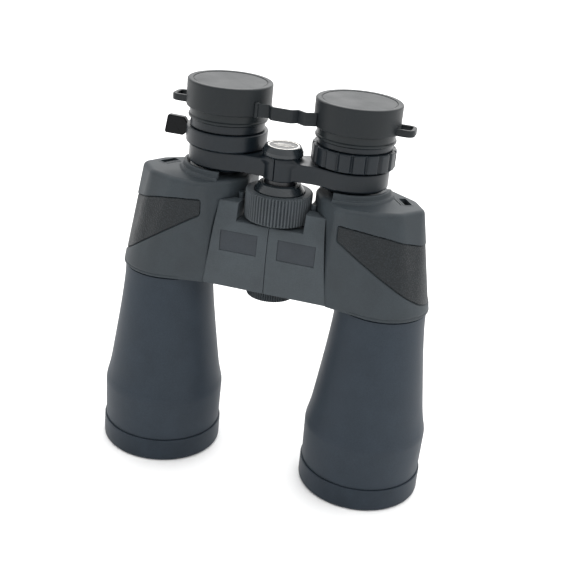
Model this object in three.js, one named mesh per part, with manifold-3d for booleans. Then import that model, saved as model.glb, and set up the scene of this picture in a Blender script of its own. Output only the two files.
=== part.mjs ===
// Porro-prism zoom binoculars, standing on their two capped objectives.
//
// Millimetres, +Z up. X runs across the two barrels and -Y is the side with the label plates and the
// focus wheel. The origin is on the standing surface, midway between the two objective axes.
// "Left" is -X and "right" is +X, as seen from the label side. The two halves mirror each other, apart
// from the hinge lugs, the zoom ring (left) and the dioptre ring (right).

import * as THREE from 'three';
import { mergeVertices } from 'three/addons/utils/BufferGeometryUtils.js';
import Module from 'manifold-3d';

const wasm = await Module();
wasm.setup();

// ---------------------------------------------------------------- driving dimensions

const CLEARANCE = 0.3; // gap between pieces that touch or slide

// The three sorts of axis, all along Z
const EYEPIECE = { x: 35, y: 6.9 }; // half of the 70 mm eyepiece spacing when fully open
const OBJECTIVE = { x: 61.25, y: 0 };
const HINGE = { x: 0, y: -4.5 };
const FOLD_HALF_ANGLE = 24; // degrees kept free on each side of the back of the hinge

// Heights
const HOUSING_BOTTOM = 112;
const HOUSING_TOP = 169.3;
const CAP_HEIGHT = 13.5;
const BARREL_FRONT = 2.4;
const RING_TOP = 183.5; // top of the eyepiece rings on the bridge
const NECK_TOP = 197.6;
const GUARD_BOTTOM = 203.5;
const GUARD_TOP = 218;

// Radii
const CAP_RADIUS = 34.4;
const SPIGOT_RADIUS = 21.7; // the barrel's end inside the housing
const SPIGOT_TOP = 118;
const BRIDGE_RING_RADIUS = 19.8;
const EYEPIECE_BODY_RADIUS = 16.7;
const EYEPIECE_TUBE_RADIUS = 10.4;
const EYEPIECE_BORE = 8.9;
const EYE_LENS_SEAT = 10.4;
const NECK_RADIUS = 20; // the eyepiece between its turning ring and its eyecup
const GUARD_RADIUS = 22.7;
const ZOOM_RING_RADIUS = 21.9;
const DIOPTRE_RING_RADIUS = 22.2;
const WHEEL_RADIUS = 17.9;
const HUB_RADIUS = 9.7;
const LUG_RADIUS = 12;
const AXLE_RADIUS = 6;
const SCREW_RADIUS = 4;
const STUD_RADIUS = 3;

// Wall thicknesses of the prism housing, outside to inside
const ARMOUR_WALL = 2.2;
const HOUSING_WALL = 2;
const EDGE_ROUNDING = 2;

// Longer than anything that a cutting shape has to pass through
const BEYOND = 60;

// Number of flat sides that stand for a circle
const SIDES_LARGE = 24;
const SIDES_MEDIUM = 20;
const SIDES_SMALL = 12;
const OUTLINE_SIDES = 28;

// The housing's outline is the tight band round a few circles, written as [x, y, radius], for the right
// half. It changes evenly from the bottom, where it hugs the barrel, to the top, where it is a pointed
// oval over the prisms.
const BOTTOM_CIRCLES = [
  [OBJECTIVE.x, OBJECTIVE.y, 25.8],
  [36, -13.5, 7],
  [27, 2, 8.5],
  [28, 19, 9],
  [40, 19, 10],
];
const TOP_CIRCLES = [
  [72, -3.5, 5.3],
  [66, 4.5, 6.8],
  [62.5, -10.5, 8.5],
  [51, -15, 8.8],
  [40.5, -16.4, 8.4],
  [30, -7.5, 7],
  [27, 2, 8.5],
  [28, 19, 9],
  [40, 20, 10],
];

// ---------------------------------------------------------------- materials

function finish(color, roughness, metalness) {
  return new THREE.MeshStandardMaterial({ color, roughness, metalness });
}

const armourRubber = finish(0x474c4f, 0.75, 0);
const gripRubber = finish(0x3f4447, 0.9, 0);
const plateRubber = finish(0x4d5254, 0.75, 0);
const badgeFilm = finish(0x43484b, 0.5, 0);
const barrelPaint = finish(0x3b4045, 0.5, 0.1);
const capPlastic = finish(0x34383b, 0.55, 0);
const satinBlack = finish(0x35393b, 0.45, 0.1);
const eyecupRubber = finish(0x33373a, 0.7, 0);
const guardRubber = finish(0x3e4244, 0.75, 0);
const glossBlack = finish(0x1d1f22, 0.2, 0);
const housingCast = finish(0x2a2c2e, 0.6, 0.3);
const brass = finish(0xb08d4a, 0.35, 1);
const steel = finish(0x9a9c9e, 0.35, 1);
const opticalGlass = finish(0xa9c4c0, 0.05, 0);
const discMetal = finish(0x6a6058, 0.35, 0.6);

// ---------------------------------------------------------------- shapes and solids

function radians(degrees) {
  return THREE.MathUtils.degToRad(degrees);
}

// A closed geometry becomes a solid that can be joined and cut
function toSolid(geometry) {
  const bare = geometry.clone();
  bare.deleteAttribute('normal');
  bare.deleteAttribute('uv');
  const merged = mergeVertices(bare, 1e-4);
  const index = merged.index.array;
  const triangles = [];
  for (let i = 0; i < index.length; i += 3) {
    const [a, b, c] = [index[i], index[i + 1], index[i + 2]];
    if (a !== b && b !== c && c !== a) triangles.push(a, b, c);
  }
  return new wasm.Manifold(new wasm.Mesh({
    numProp: 3,
    vertProperties: new Float32Array(merged.attributes.position.array),
    triVerts: new Uint32Array(triangles),
  }));
}

function toGeometry(solid) {
  const mesh = solid.getMesh();
  const geometry = new THREE.BufferGeometry();
  geometry.setAttribute('position', new THREE.BufferAttribute(mesh.vertProperties, 3));
  geometry.setIndex(new THREE.BufferAttribute(mesh.triVerts, 1));
  return geometry;
}

function mirroredSolid(solid) {
  const geometry = toGeometry(solid);
  geometry.scale(-1, 1, 1);
  const index = geometry.index.array;
  for (let i = 0; i < index.length; i += 3) {
    [index[i + 1], index[i + 2]] = [index[i + 2], index[i + 1]];
  }
  return toSolid(geometry);
}

// A round solid about Z from a profile of [radius, height] points, listed anticlockwise
function turned(profile, sides) {
  const points = profile.map(([radius, height]) => new THREE.Vector2(radius, height));
  if (profile[0][0] !== 0) points.push(points[0].clone());
  const geometry = new THREE.LatheGeometry(points, sides);
  geometry.rotateX(Math.PI / 2);
  return toSolid(geometry);
}

// A tube or, with no bore, a plain round bar
function tube(bore, radius, bottom, top, sides) {
  return turned([[bore, bottom], [radius, bottom], [radius, top], [bore, top]], sides);
}

function placed(solid, x, y, turn = 0) {
  const geometry = toGeometry(solid);
  geometry.rotateZ(turn);
  geometry.translate(x, y, 0);
  return toSolid(geometry);
}

function atAxis(solid, axis) {
  return placed(solid, axis.x, axis.y);
}

// A box from its two corners
function block(x0, y0, z0, x1, y1, z1) {
  const geometry = new THREE.BoxGeometry(x1 - x0, y1 - y0, z1 - z0);
  geometry.translate((x0 + x1) / 2, (y0 + y1) / 2, (z0 + z1) / 2);
  return toSolid(geometry);
}

function toShape(points) {
  return new THREE.Shape(points.map(([x, y]) => new THREE.Vector2(x, y)));
}

// A flat outline in X and Y, given height from bottom to top
function risen(points, bottom, top) {
  const settings = { depth: top - bottom, bevelEnabled: false };
  const geometry = new THREE.ExtrudeGeometry(toShape(points), settings);
  geometry.translate(0, 0, bottom);
  return toSolid(geometry);
}

// An outline in X and Z, pushed through from y = near to y = far
function pushedBack(points, near, far) {
  const settings = { depth: far - near, bevelEnabled: false };
  const geometry = new THREE.ExtrudeGeometry(toShape(points), settings);
  geometry.rotateX(Math.PI / 2);
  geometry.translate(0, far, 0);
  return toSolid(geometry);
}

// An outline in Y and Z, pushed through from x = near to x = far
function pushedAcross(points, near, far) {
  const settings = { depth: far - near, bevelEnabled: false };
  const geometry = new THREE.ExtrudeGeometry(toShape(points), settings);
  geometry.rotateX(Math.PI / 2);
  geometry.rotateZ(Math.PI / 2);
  geometry.translate(near, 0, 0);
  return toSolid(geometry);
}

// A toothed outline: radius falls by depth in the middle of each gap between teeth
function toothedOutline(radius, depth, teeth, toothShare) {
  const points = [];
  const pitch = (2 * Math.PI) / teeth;
  for (let tooth = 0; tooth < teeth; tooth += 1) {
    for (const [share, drop] of [[0, 0], [toothShare, 0], [(1 + toothShare) / 2, depth]]) {
      const angle = (tooth + share) * pitch;
      points.push([(radius - drop) * Math.cos(angle), (radius - drop) * Math.sin(angle)]);
    }
  }
  return points;
}

// ---------------------------------------------------------------- the prism housing's form

// The band round the circles, pulled in by inset: one point for each direction that it faces
function bandPoint(circles, inset, angle) {
  const facing = new THREE.Vector2(Math.cos(angle), Math.sin(angle));
  let best = null;
  let furthest = -Infinity;
  for (const [x, y, radius] of circles) {
    const reach = x * facing.x + y * facing.y + radius;
    if (reach > furthest) {
      furthest = reach;
      best = new THREE.Vector2(x, y).addScaledVector(facing, radius - inset);
    }
  }
  return best;
}

function bodyOutline(height, inset) {
  const share = (height - HOUSING_BOTTOM) / (HOUSING_TOP - HOUSING_BOTTOM);
  const points = [];
  for (let i = 0; i < OUTLINE_SIDES; i += 1) {
    const angle = (2 * Math.PI * i) / OUTLINE_SIDES;
    const low = bandPoint(BOTTOM_CIRCLES, inset, angle);
    const high = bandPoint(TOP_CIRCLES, inset, angle);
    points.push(low.lerp(high, share));
  }
  return points;
}

// A solid with the housing's form: each level is [height, inset]
function bodySolid(levels) {
  const outlines = levels.map(([height, inset]) => bodyOutline(height, inset));
  const steps = levels.length - 1;
  const shape = new THREE.Shape(outlines[0]);
  const geometry = new THREE.ExtrudeGeometry(shape, { depth: steps, steps, bevelEnabled: false });
  const position = geometry.attributes.position;
  for (let i = 0; i < position.count; i += 1) {
    const here = new THREE.Vector2(position.getX(i), position.getY(i));
    const level = Math.round(position.getZ(i));
    const gaps = outlines[0].map((point) => point.distanceTo(here));
    const there = outlines[level][gaps.indexOf(Math.min(...gaps))];
    position.setXYZ(i, there.x, there.y, levels[level][0]);
  }
  return toSolid(geometry);
}

function roundedBody(inset, bottom, top) {
  return bodySolid([
    [bottom, inset],
    [top - EDGE_ROUNDING, inset],
    [top - 0.3 * EDGE_ROUNDING, inset + 0.3 * EDGE_ROUNDING],
    [top, inset + EDGE_ROUNDING],
  ]);
}

function straightBody(inset, bottom, top) {
  return bodySolid([[bottom, inset], [top, inset]]);
}

const HOUSING_INSET = ARMOUR_WALL + CLEARANCE;
const CAVITY_INSET = HOUSING_INSET + HOUSING_WALL;
const PRISM_INSET = CAVITY_INSET + 2 * CLEARANCE;
const HOUSING_LID = HOUSING_TOP - ARMOUR_WALL - CLEARANCE;
const CAVITY_BOTTOM = HOUSING_BOTTOM + CLEARANCE + HOUSING_WALL;
const CAVITY_TOP = HOUSING_LID - HOUSING_WALL;

// Strap slot: down through the top near the outer end, and out at the back
const SLOT = {
  x: 65.8,
  y: 3.6,
  length: 10.3,
  width: 3.9,
  turn: radians(120.8),
  floor: 159.5,
  sill: 164.2,
  exitReach: 16,
  pocketWall: 1.6,
};

function strapSlot(growth) {
  const half = SLOT.length / 2 + growth;
  const inner = SLOT.width / 2 + growth;
  const shaft = block(-half, -inner, SLOT.floor - growth, half, inner, HOUSING_TOP + 1);
  const exit = block(-half, -SLOT.exitReach, SLOT.floor - growth, half, inner, SLOT.sill + growth);
  return placed(shaft.add(exit), SLOT.x, SLOT.y, SLOT.turn);
}

// ---------------------------------------------------------------- hinge

const KNUCKLES = { bottom: 112.6, height: 11.6, gap: CLEARANCE };

function knuckleSpan(place) {
  const bottom = KNUCKLES.bottom + place * (KNUCKLES.height + KNUCKLES.gap);
  return [bottom, bottom + KNUCKLES.height];
}

// One hinge lug with the web that joins it to the right half's wall
const WEB = { front: HINGE.y - 8.5, back: HINGE.y + 6, end: 26 };

function hingeLug(place) {
  const [bottom, top] = knuckleSpan(place);
  const web = block(0, WEB.front, bottom, WEB.end, WEB.back, top);
  return atAxis(tube(0, LUG_RADIUS, bottom, top, SIDES_MEDIUM), HINGE).add(web);
}

// ---------------------------------------------------------------- prism housing pieces

function housing(places) {
  let solid = roundedBody(HOUSING_INSET, HOUSING_BOTTOM + CLEARANCE, HOUSING_LID);
  for (const place of places) solid = solid.add(hingeLug(place));
  const cavity = straightBody(CAVITY_INSET, CAVITY_BOTTOM, CAVITY_TOP).subtract(strapSlot(SLOT.pocketWall));
  const throat = tube(0, SPIGOT_RADIUS + CLEARANCE, HOUSING_BOTTOM - 1, SPIGOT_TOP + 1, SIDES_LARGE);
  const axleBore = tube(0, AXLE_RADIUS + CLEARANCE, HOUSING_BOTTOM - 1, HOUSING_TOP, SIDES_SMALL);
  return solid
    .subtract(cavity)
    .subtract(atAxis(throat, OBJECTIVE))
    .subtract(guideHole())
    .subtract(atAxis(axleBore, HINGE))
    .subtract(strapSlot(0));
}

const GUIDE = { radius: 11.6, bottom: 158.5, top: HOUSING_TOP + CLEARANCE };

function guideHole() {
  const hole = tube(0, GUIDE.radius + CLEARANCE, CAVITY_TOP - 1, HOUSING_TOP + 1, SIDES_MEDIUM);
  return atAxis(hole, EYEPIECE);
}

function guideTube() {
  return tube(EYEPIECE_TUBE_RADIUS + CLEARANCE, GUIDE.radius, GUIDE.bottom, GUIDE.top, SIDES_MEDIUM);
}

// Two-step crescent on the armour's top, round the front of the eyepiece
const CRESCENT = {
  bore: 20.4,
  high: 22.3,
  low: 23.7,
  highTop: 173.4,
  lowTop: 170.4,
  innerEnd: 31.3,
  back: 12,
};

function crescent() {
  const { bore, high, low, highTop, lowTop } = CRESCENT;
  const root = HOUSING_TOP - 1;
  const profile = [
    [bore, root],
    [low, root],
    [low, lowTop],
    [high, lowTop],
    [high, highTop],
    [bore, highTop],
  ];
  const { innerEnd, back } = CRESCENT;
  return atAxis(turned(profile, SIDES_LARGE), EYEPIECE)
    .intersect(block(innerEnd, -BEYOND, root - 1, innerEnd + BEYOND, back, highTop + 1));
}

// Label plate: a curved cover over the hinge, with an ear beside the focus wheel
const PLATE = {
  seam: 0.15,
  bottom: HOUSING_BOTTOM,
  notchFloor: 149.9,
  notchHalfWidth: 18.5,
  top: 159.5,
  topCorner: 29,
  midCorner: 31.2,
  bottomCorner: 34.6,
  thickness: 2,
  earDepth: 12,
  earBack: -8,
};
const PLATE_FACE = [[-19.8, 111], [-20.1, 122], [-20.1, 132], [-19.3, 146], [-17.6, 154], [-16, 160]];

function plateOutline(growth) {
  return [
    [PLATE.seam - growth, PLATE.bottom - growth],
    [PLATE.bottomCorner + growth, PLATE.bottom - growth],
    [PLATE.midCorner + growth, (PLATE.top + PLATE.bottom) / 2],
    [PLATE.topCorner + growth, PLATE.top + growth],
    [PLATE.notchHalfWidth - growth, PLATE.top + growth],
    [PLATE.notchHalfWidth - growth, PLATE.notchFloor + growth],
    [PLATE.seam - growth, PLATE.notchFloor + growth],
  ];
}

function plateSlab(inFront, behind) {
  const front = PLATE_FACE.map(([y, z]) => [y - inFront, z]);
  const back = PLATE_FACE.map(([y, z]) => [y + behind, z]);
  return pushedAcross([...front, ...back.reverse()], 0, BEYOND);
}

const BADGE = { left: 5.7, right: 26.2, bottom: 132.8, top: 144, recess: 0.9, thickness: 0.6 };

function badgeOutline(growth) {
  return [
    [BADGE.left - growth, BADGE.bottom - growth],
    [BADGE.right + growth, BADGE.bottom - growth],
    [BADGE.right + growth, BADGE.top + growth],
    [BADGE.left - growth, BADGE.top + growth],
  ];
}

function labelPlate() {
  const slab = plateSlab(0, PLATE.thickness);
  const { notchHalfWidth, notchFloor, earDepth, earBack, top } = PLATE;
  const earSpace = block(notchHalfWidth, -BEYOND, notchFloor, BEYOND, earBack, top + 1);
  const ear = plateSlab(0, earDepth).intersect(earSpace);
  const recess = plateSlab(1, BADGE.recess).intersect(pushedBack(badgeOutline(CLEARANCE / 2), -BEYOND, 0));
  return slab
    .add(ear)
    .intersect(pushedBack(plateOutline(0), -BEYOND, 0))
    .subtract(recess)
    .subtract(straightBody(ARMOUR_WALL, HOUSING_BOTTOM - 1, HOUSING_TOP));
}

function labelBadge() {
  const depth = BADGE.recess - CLEARANCE;
  const film = plateSlab(BADGE.thickness - depth, depth);
  return film.intersect(pushedBack(badgeOutline(-CLEARANCE / 2), -BEYOND, 0));
}

// Textured grip panel, let into the armour on the front and round the outer side
const GRIP = {
  skin: 1.2,
  recess: 0.15,
  innerEnd: 36.5,
  backEnd: 14,
  innerLow: [37.2, 151.1],
  outerLow: [92, 113.4],
  outerHigh: [92, 149.6],
  innerHigh: [37.4, 159.3],
};

function gripOutline(growth) {
  const { innerLow, outerLow, outerHigh, innerHigh } = GRIP;
  return [
    [innerLow[0] - growth, innerLow[1] - 0.6 * growth],
    [outerLow[0], outerLow[1] - 1.2 * growth],
    [outerHigh[0], outerHigh[1] + growth],
    [innerHigh[0] - growth, innerHigh[1] + growth],
  ];
}

function gripBand(outer, inner, growth) {
  const skin = straightBody(outer, HOUSING_BOTTOM - 1, HOUSING_TOP)
    .subtract(straightBody(inner, HOUSING_BOTTOM - 2, HOUSING_TOP + 1));
  return skin
    .intersect(pushedBack(gripOutline(growth), -BEYOND, GRIP.backEnd + growth))
    .intersect(block(GRIP.innerEnd, -BEYOND, HOUSING_BOTTOM, 2 * BEYOND, BEYOND, HOUSING_TOP));
}

function gripInlay() {
  return gripBand(GRIP.recess, GRIP.recess + GRIP.skin, 0);
}

function armour() {
  const shell = roundedBody(0, HOUSING_BOTTOM, HOUSING_TOP)
    .add(crescent())
    .subtract(roundedBody(ARMOUR_WALL, HOUSING_BOTTOM - 1, HOUSING_TOP - ARMOUR_WALL));
  const plateWindow = pushedBack(plateOutline(CLEARANCE), -BEYOND, PLATE.earBack + CLEARANCE);
  const hingeWindow = block(0, -BEYOND, HOUSING_BOTTOM - 1, WEB.end + 2, WEB.back + 1, PLATE.notchFloor);
  const gripPocket = gripBand(-1, GRIP.recess + GRIP.skin + CLEARANCE, CLEARANCE);
  return shell
    .subtract(guideHole())
    .subtract(plateWindow)
    .subtract(hingeWindow)
    .subtract(gripPocket)
    .subtract(strapSlot(0));
}

// ---------------------------------------------------------------- prisms

// Each prism shifts the light sideways by one step; the two steps together lead from the objective's
// axis to the eyepiece's.
const OFFSET = new THREE.Vector2(EYEPIECE.x - OBJECTIVE.x, EYEPIECE.y - OBJECTIVE.y);
const PRISM_STEP = OFFSET.length() / Math.SQRT2;
const FIRST_TURN = OFFSET.angle() + Math.PI / 4;
const SECOND_TURN = OFFSET.angle() - Math.PI / 4;
const FOLD_POINT = new THREE.Vector2(
  OBJECTIVE.x + PRISM_STEP * Math.cos(FIRST_TURN),
  OBJECTIVE.y + PRISM_STEP * Math.sin(FIRST_TURN),
);
const PRISM_WIDTH = 18;
const RIDGE_HALF_WIDTH = 3;
const SHELF = { bottom: 139, top: 141, lightHole: 7.5 };

// A right-angle prism lying on its long face, which runs along X from the first light path to the second
function prism(direction, base) {
  const end = PRISM_STEP / 2;
  const ridgeHeight = base + direction * (PRISM_STEP - RIDGE_HALF_WIDTH);
  const outline = [
    [-end, base],
    [PRISM_STEP + end, base],
    [end + RIDGE_HALF_WIDTH, ridgeHeight],
    [end - RIDGE_HALF_WIDTH, ridgeHeight],
  ];
  return pushedBack(direction > 0 ? outline : outline.reverse(), -PRISM_WIDTH / 2, PRISM_WIDTH / 2);
}

function upperPrism() {
  return placed(prism(1, SHELF.top + CLEARANCE), OBJECTIVE.x, OBJECTIVE.y, FIRST_TURN)
    .intersect(straightBody(PRISM_INSET, HOUSING_BOTTOM, CAVITY_TOP));
}

function lowerPrism() {
  return placed(prism(-1, SHELF.bottom - CLEARANCE), FOLD_POINT.x, FOLD_POINT.y, SECOND_TURN)
    .intersect(straightBody(PRISM_INSET, HOUSING_BOTTOM, CAVITY_TOP));
}

function prismShelf() {
  let plate = straightBody(PRISM_INSET, SHELF.bottom, SHELF.top);
  const hole = tube(0, SHELF.lightHole, SHELF.bottom - 1, SHELF.top + 1, SIDES_SMALL);
  for (const axis of [OBJECTIVE, FOLD_POINT, EYEPIECE]) plate = plate.subtract(atAxis(hole, axis));
  return plate;
}

// ---------------------------------------------------------------- objective barrel and cap

const BARREL_STEP = CAP_HEIGHT + CLEARANCE;
const CAP_SEAT_RADIUS = CAP_RADIUS - 1.5;
const LENS_BORE = 30.9;
const LENS_STOP = 22.3; // height of the shoulder that the objective lens rests against

function barrel() {
  return turned([
    [LENS_BORE, BARREL_FRONT],
    [CAP_SEAT_RADIUS, BARREL_FRONT],
    [CAP_SEAT_RADIUS, BARREL_STEP],
    [33.6, BARREL_STEP],
    [34, 36],
    [33.1, 42],
    [31.5, 50],
    [29.4, 65],
    [26.2, 90],
    [24.7, 106],
    [24.6, HOUSING_BOTTOM - CLEARANCE],
    [SPIGOT_RADIUS, HOUSING_BOTTOM - CLEARANCE],
    [SPIGOT_RADIUS, SPIGOT_TOP],
    [19.7, SPIGOT_TOP],
    [19.7, 110],
    [24, 90],
    [29, 50],
    [29, LENS_STOP],
    [LENS_BORE, LENS_STOP],
  ], SIDES_LARGE);
}

function objectiveLens() {
  const radius = LENS_BORE - CLEARANCE;
  const zone = radius / 2; // where each curved face is broken into two flats
  return turned([
    [0, 10.5],
    [zone, 11.5],
    [radius, 14.6],
    [radius, 18],
    [zone, 20.5],
    [0, 21.5],
  ], SIDES_LARGE);
}

function retainingRing() {
  return tube(28.4, LENS_BORE - CLEARANCE, 10.6, 13.8, SIDES_LARGE);
}

function objectiveCap() {
  const wall = 1.2;
  const floor = 2;
  const edge = 0.9;
  const bore = CAP_RADIUS - wall;
  return turned([
    [0, 0],
    [CAP_RADIUS - edge, 0],
    [CAP_RADIUS, edge],
    [CAP_RADIUS, CAP_HEIGHT],
    [bore, CAP_HEIGHT],
    [bore, floor],
    [0, floor],
  ], SIDES_LARGE);
}

// ---------------------------------------------------------------- focusing bridge

const HUB = { bottom: 173.5, middle: 179.5, top: 185.7, wall: 1.7, splitTurn: -8, splitGap: 3 };
const ARM = { bottom: 174, halfWidth: 7.8 };
const RING_BOTTOM = 172.9;
const RING_CHAMFER = 1.5;
const WHEEL = { bottom: 150.7, top: 166.6, teeth: 24, toothDepth: 0.45, toothShare: 0.5, bevel: 0.8 };
const COLLAR = { foot: 13.4, head: 11, top: 171, edge: 0.6, recess: 8.7, recessFloor: 168 };

function straightArm() {
  const length = Math.hypot(EYEPIECE.x - HINGE.x, EYEPIECE.y - HINGE.y);
  const turn = Math.atan2(EYEPIECE.y - HINGE.y, EYEPIECE.x - HINGE.x);
  const bar = block(0, -ARM.halfWidth, ARM.bottom, length, ARM.halfWidth, RING_TOP);
  return placed(bar, HINGE.x, HINGE.y, turn);
}

// The part of the space round the hinge axis that belongs to one arm: side is 1 for right, -1 for left
function armSector(side) {
  const onRay = (angle) => [HINGE.x + BEYOND * Math.cos(angle), HINGE.y + BEYOND * Math.sin(angle)];
  const split = radians(-90 + HUB.splitTurn + Math.min(side, 0) * HUB.splitGap);
  const back = radians(90 - side * FOLD_HALF_ANGLE);
  const outline = [
    [HINGE.x, HINGE.y],
    onRay(split),
    [side * BEYOND, -BEYOND],
    [side * 2 * BEYOND, BEYOND],
    onRay(back),
  ];
  return risen(side > 0 ? outline : outline.reverse(), RING_BOTTOM - 1, HUB.top + 1);
}

// An arm with its eyepiece ring and its half of the hub. Inside the half shells, each arm has one full
// ring round the hinge axis: the left arm's below, the right arm's above.
function bridgeArm(arm, sector, eyepieceX, innerRing, otherRing) {
  const ring = turned([
    [0, RING_BOTTOM],
    [BRIDGE_RING_RADIUS - RING_CHAMFER, RING_BOTTOM],
    [BRIDGE_RING_RADIUS, RING_BOTTOM + RING_CHAMFER],
    [BRIDGE_RING_RADIUS, RING_TOP],
    [0, RING_TOP],
  ], SIDES_MEDIUM);
  const hub = atAxis(tube(0, HUB_RADIUS, HUB.bottom, HUB.top, SIDES_MEDIUM), HINGE);
  const innerRadius = HUB_RADIUS - HUB.wall;
  const knuckle = atAxis(tube(0, innerRadius, innerRing[0], innerRing[1], SIDES_MEDIUM), HINGE);
  const room = atAxis(
    tube(0, innerRadius + CLEARANCE, otherRing[0] - CLEARANCE, otherRing[1] + CLEARANCE, SIDES_MEDIUM),
    HINGE,
  );
  const bore = atAxis(tube(0, AXLE_RADIUS + CLEARANCE, RING_BOTTOM - 1, HUB.top + 1, SIDES_SMALL), HINGE);
  const seat = placed(
    tube(0, EYEPIECE_BODY_RADIUS + CLEARANCE, RING_BOTTOM - 1, RING_TOP + 1, SIDES_MEDIUM),
    eyepieceX,
    EYEPIECE.y,
  );
  return arm
    .add(hub)
    .intersect(sector)
    .add(placed(ring, eyepieceX, EYEPIECE.y))
    .subtract(room)
    .add(knuckle)
    .subtract(bore)
    .subtract(seat);
}

const LOWER_KNUCKLE = [HUB.bottom, HUB.middle - CLEARANCE / 2];
const UPPER_KNUCKLE = [HUB.middle + CLEARANCE / 2, HUB.top];

function rightArm() {
  return bridgeArm(straightArm(), armSector(1), EYEPIECE.x, UPPER_KNUCKLE, LOWER_KNUCKLE);
}

function leftArm() {
  return bridgeArm(mirroredSolid(straightArm()), armSector(-1), -EYEPIECE.x, LOWER_KNUCKLE, UPPER_KNUCKLE);
}

function focusWheel() {
  const teeth = risen(
    toothedOutline(WHEEL_RADIUS, WHEEL.toothDepth, WHEEL.teeth, WHEEL.toothShare),
    WHEEL.bottom,
    WHEEL.top - WHEEL.bevel,
  );
  const bevelled = turned([
    [0, WHEEL.bottom],
    [WHEEL_RADIUS - 1, WHEEL.bottom],
    [WHEEL_RADIUS - 1, WHEEL.top],
    [COLLAR.foot, WHEEL.top],
    [COLLAR.head, COLLAR.top - COLLAR.edge],
    [COLLAR.head - COLLAR.edge, COLLAR.top],
    [0, COLLAR.top],
  ], SIDES_MEDIUM);
  return teeth
    .add(bevelled)
    .subtract(tube(0, COLLAR.recess, COLLAR.recessFloor, COLLAR.top + 1, SIDES_MEDIUM))
    .subtract(tube(0, AXLE_RADIUS + CLEARANCE, WHEEL.bottom - 1, COLLAR.top, SIDES_SMALL));
}

// The sleeve that hangs the hub on the screw, with a flange that dips into the collar
const FLANGE = { radius: 8.3, bottom: 170.2 };

function hubSleeve() {
  const bore = SCREW_RADIUS + CLEARANCE;
  const flange = FLANGE.radius;
  return turned([
    [bore, FLANGE.bottom],
    [flange, FLANGE.bottom],
    [flange, HUB.bottom - CLEARANCE],
    [AXLE_RADIUS, HUB.bottom - CLEARANCE],
    [AXLE_RADIUS, HUB.top],
    [bore, HUB.top],
  ], SIDES_SMALL);
}

const HUB_CAP = {
  radius: 10.8,
  shoulderRadius: 9.3,
  bottom: HUB.top + CLEARANCE,
  shoulder: 188.4,
  top: 191.2,
  discRadius: 8.5,
  discDepth: 0.8,
};

function hubCap() {
  const { radius, bottom, top, discRadius, discDepth } = HUB_CAP;
  const recess = discRadius + CLEARANCE;
  return turned([
    [0, bottom],
    [radius, bottom],
    [radius, HUB_CAP.shoulder],
    [HUB_CAP.shoulderRadius, top],
    [recess, top],
    [recess, top - discDepth - CLEARANCE],
    [0, top - discDepth - CLEARANCE],
  ], SIDES_MEDIUM);
}

function hubDisc() {
  return tube(0, HUB_CAP.discRadius, HUB_CAP.top - HUB_CAP.discDepth, HUB_CAP.top, SIDES_MEDIUM);
}

// ---------------------------------------------------------------- eyepieces

const OCULAR_BOTTOM = 160;
const EYE_LENS_STOP = 190;
const TURNING_BORE = EYEPIECE_BODY_RADIUS + 0.4; // bore of the two rings that turn on the eyepiece body

function ocularTube(neckBottom) {
  return turned([
    [EYEPIECE_BORE, OCULAR_BOTTOM],
    [EYEPIECE_TUBE_RADIUS, OCULAR_BOTTOM],
    [EYEPIECE_TUBE_RADIUS, RING_BOTTOM],
    [EYEPIECE_BODY_RADIUS, RING_BOTTOM],
    [EYEPIECE_BODY_RADIUS, neckBottom],
    [NECK_RADIUS, neckBottom],
    [NECK_RADIUS, NECK_TOP],
    [EYE_LENS_SEAT, NECK_TOP],
    [EYE_LENS_SEAT, EYE_LENS_STOP],
    [EYEPIECE_BORE, EYE_LENS_STOP],
  ], SIDES_MEDIUM);
}

const EYECUP = { band: 21.1, outer: 20.5, bore: 18.2, floor: 2.5, top: 215.4 };

function eyecup() {
  const bottom = NECK_TOP + CLEARANCE;
  const shoulder = GUARD_BOTTOM - CLEARANCE;
  return turned([
    [EYE_LENS_SEAT, bottom],
    [EYECUP.band, bottom],
    [EYECUP.band, shoulder],
    [EYECUP.outer, shoulder],
    [EYECUP.outer, EYECUP.top],
    [EYECUP.bore, EYECUP.top],
    [EYECUP.bore, bottom + EYECUP.floor],
    [EYE_LENS_SEAT, bottom + EYECUP.floor],
  ], SIDES_MEDIUM);
}

// A lens with two domed faces, which here are shallow cones
function discLens(radius, middle, edge, bulge) {
  return turned([
    [0, middle - edge / 2 - bulge],
    [radius, middle - edge / 2],
    [radius, middle + edge / 2],
    [0, middle + edge / 2 + bulge],
  ], SIDES_SMALL);
}

const LEFT_NECK_BOTTOM = 193.2;
const RIGHT_NECK_BOTTOM = 194.7;
const ZOOM_CELL = { bottom: 166, top: 177, radius: EYEPIECE_BORE - CLEARANCE, bore: 7.4 };

function eyeLens() {
  const middle = 194.5;
  const edge = 2.4;
  const bulge = 1.3;
  return discLens(EYE_LENS_SEAT - CLEARANCE, middle, edge, bulge);
}

function zoomLens() {
  const middle = (ZOOM_CELL.bottom + ZOOM_CELL.top) / 2;
  const edge = 2;
  const bulge = 1.5;
  return discLens(ZOOM_CELL.bore - CLEARANCE, middle, edge, bulge);
}

function zoomRing() {
  const bottom = RING_TOP + CLEARANCE;
  const top = LEFT_NECK_BOTTOM - CLEARANCE;
  const chamfer = 0.9;
  return turned([
    [TURNING_BORE, bottom],
    [ZOOM_RING_RADIUS - chamfer, bottom],
    [ZOOM_RING_RADIUS, bottom + chamfer],
    [ZOOM_RING_RADIUS, top],
    [TURNING_BORE, top],
  ], SIDES_MEDIUM);
}

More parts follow.
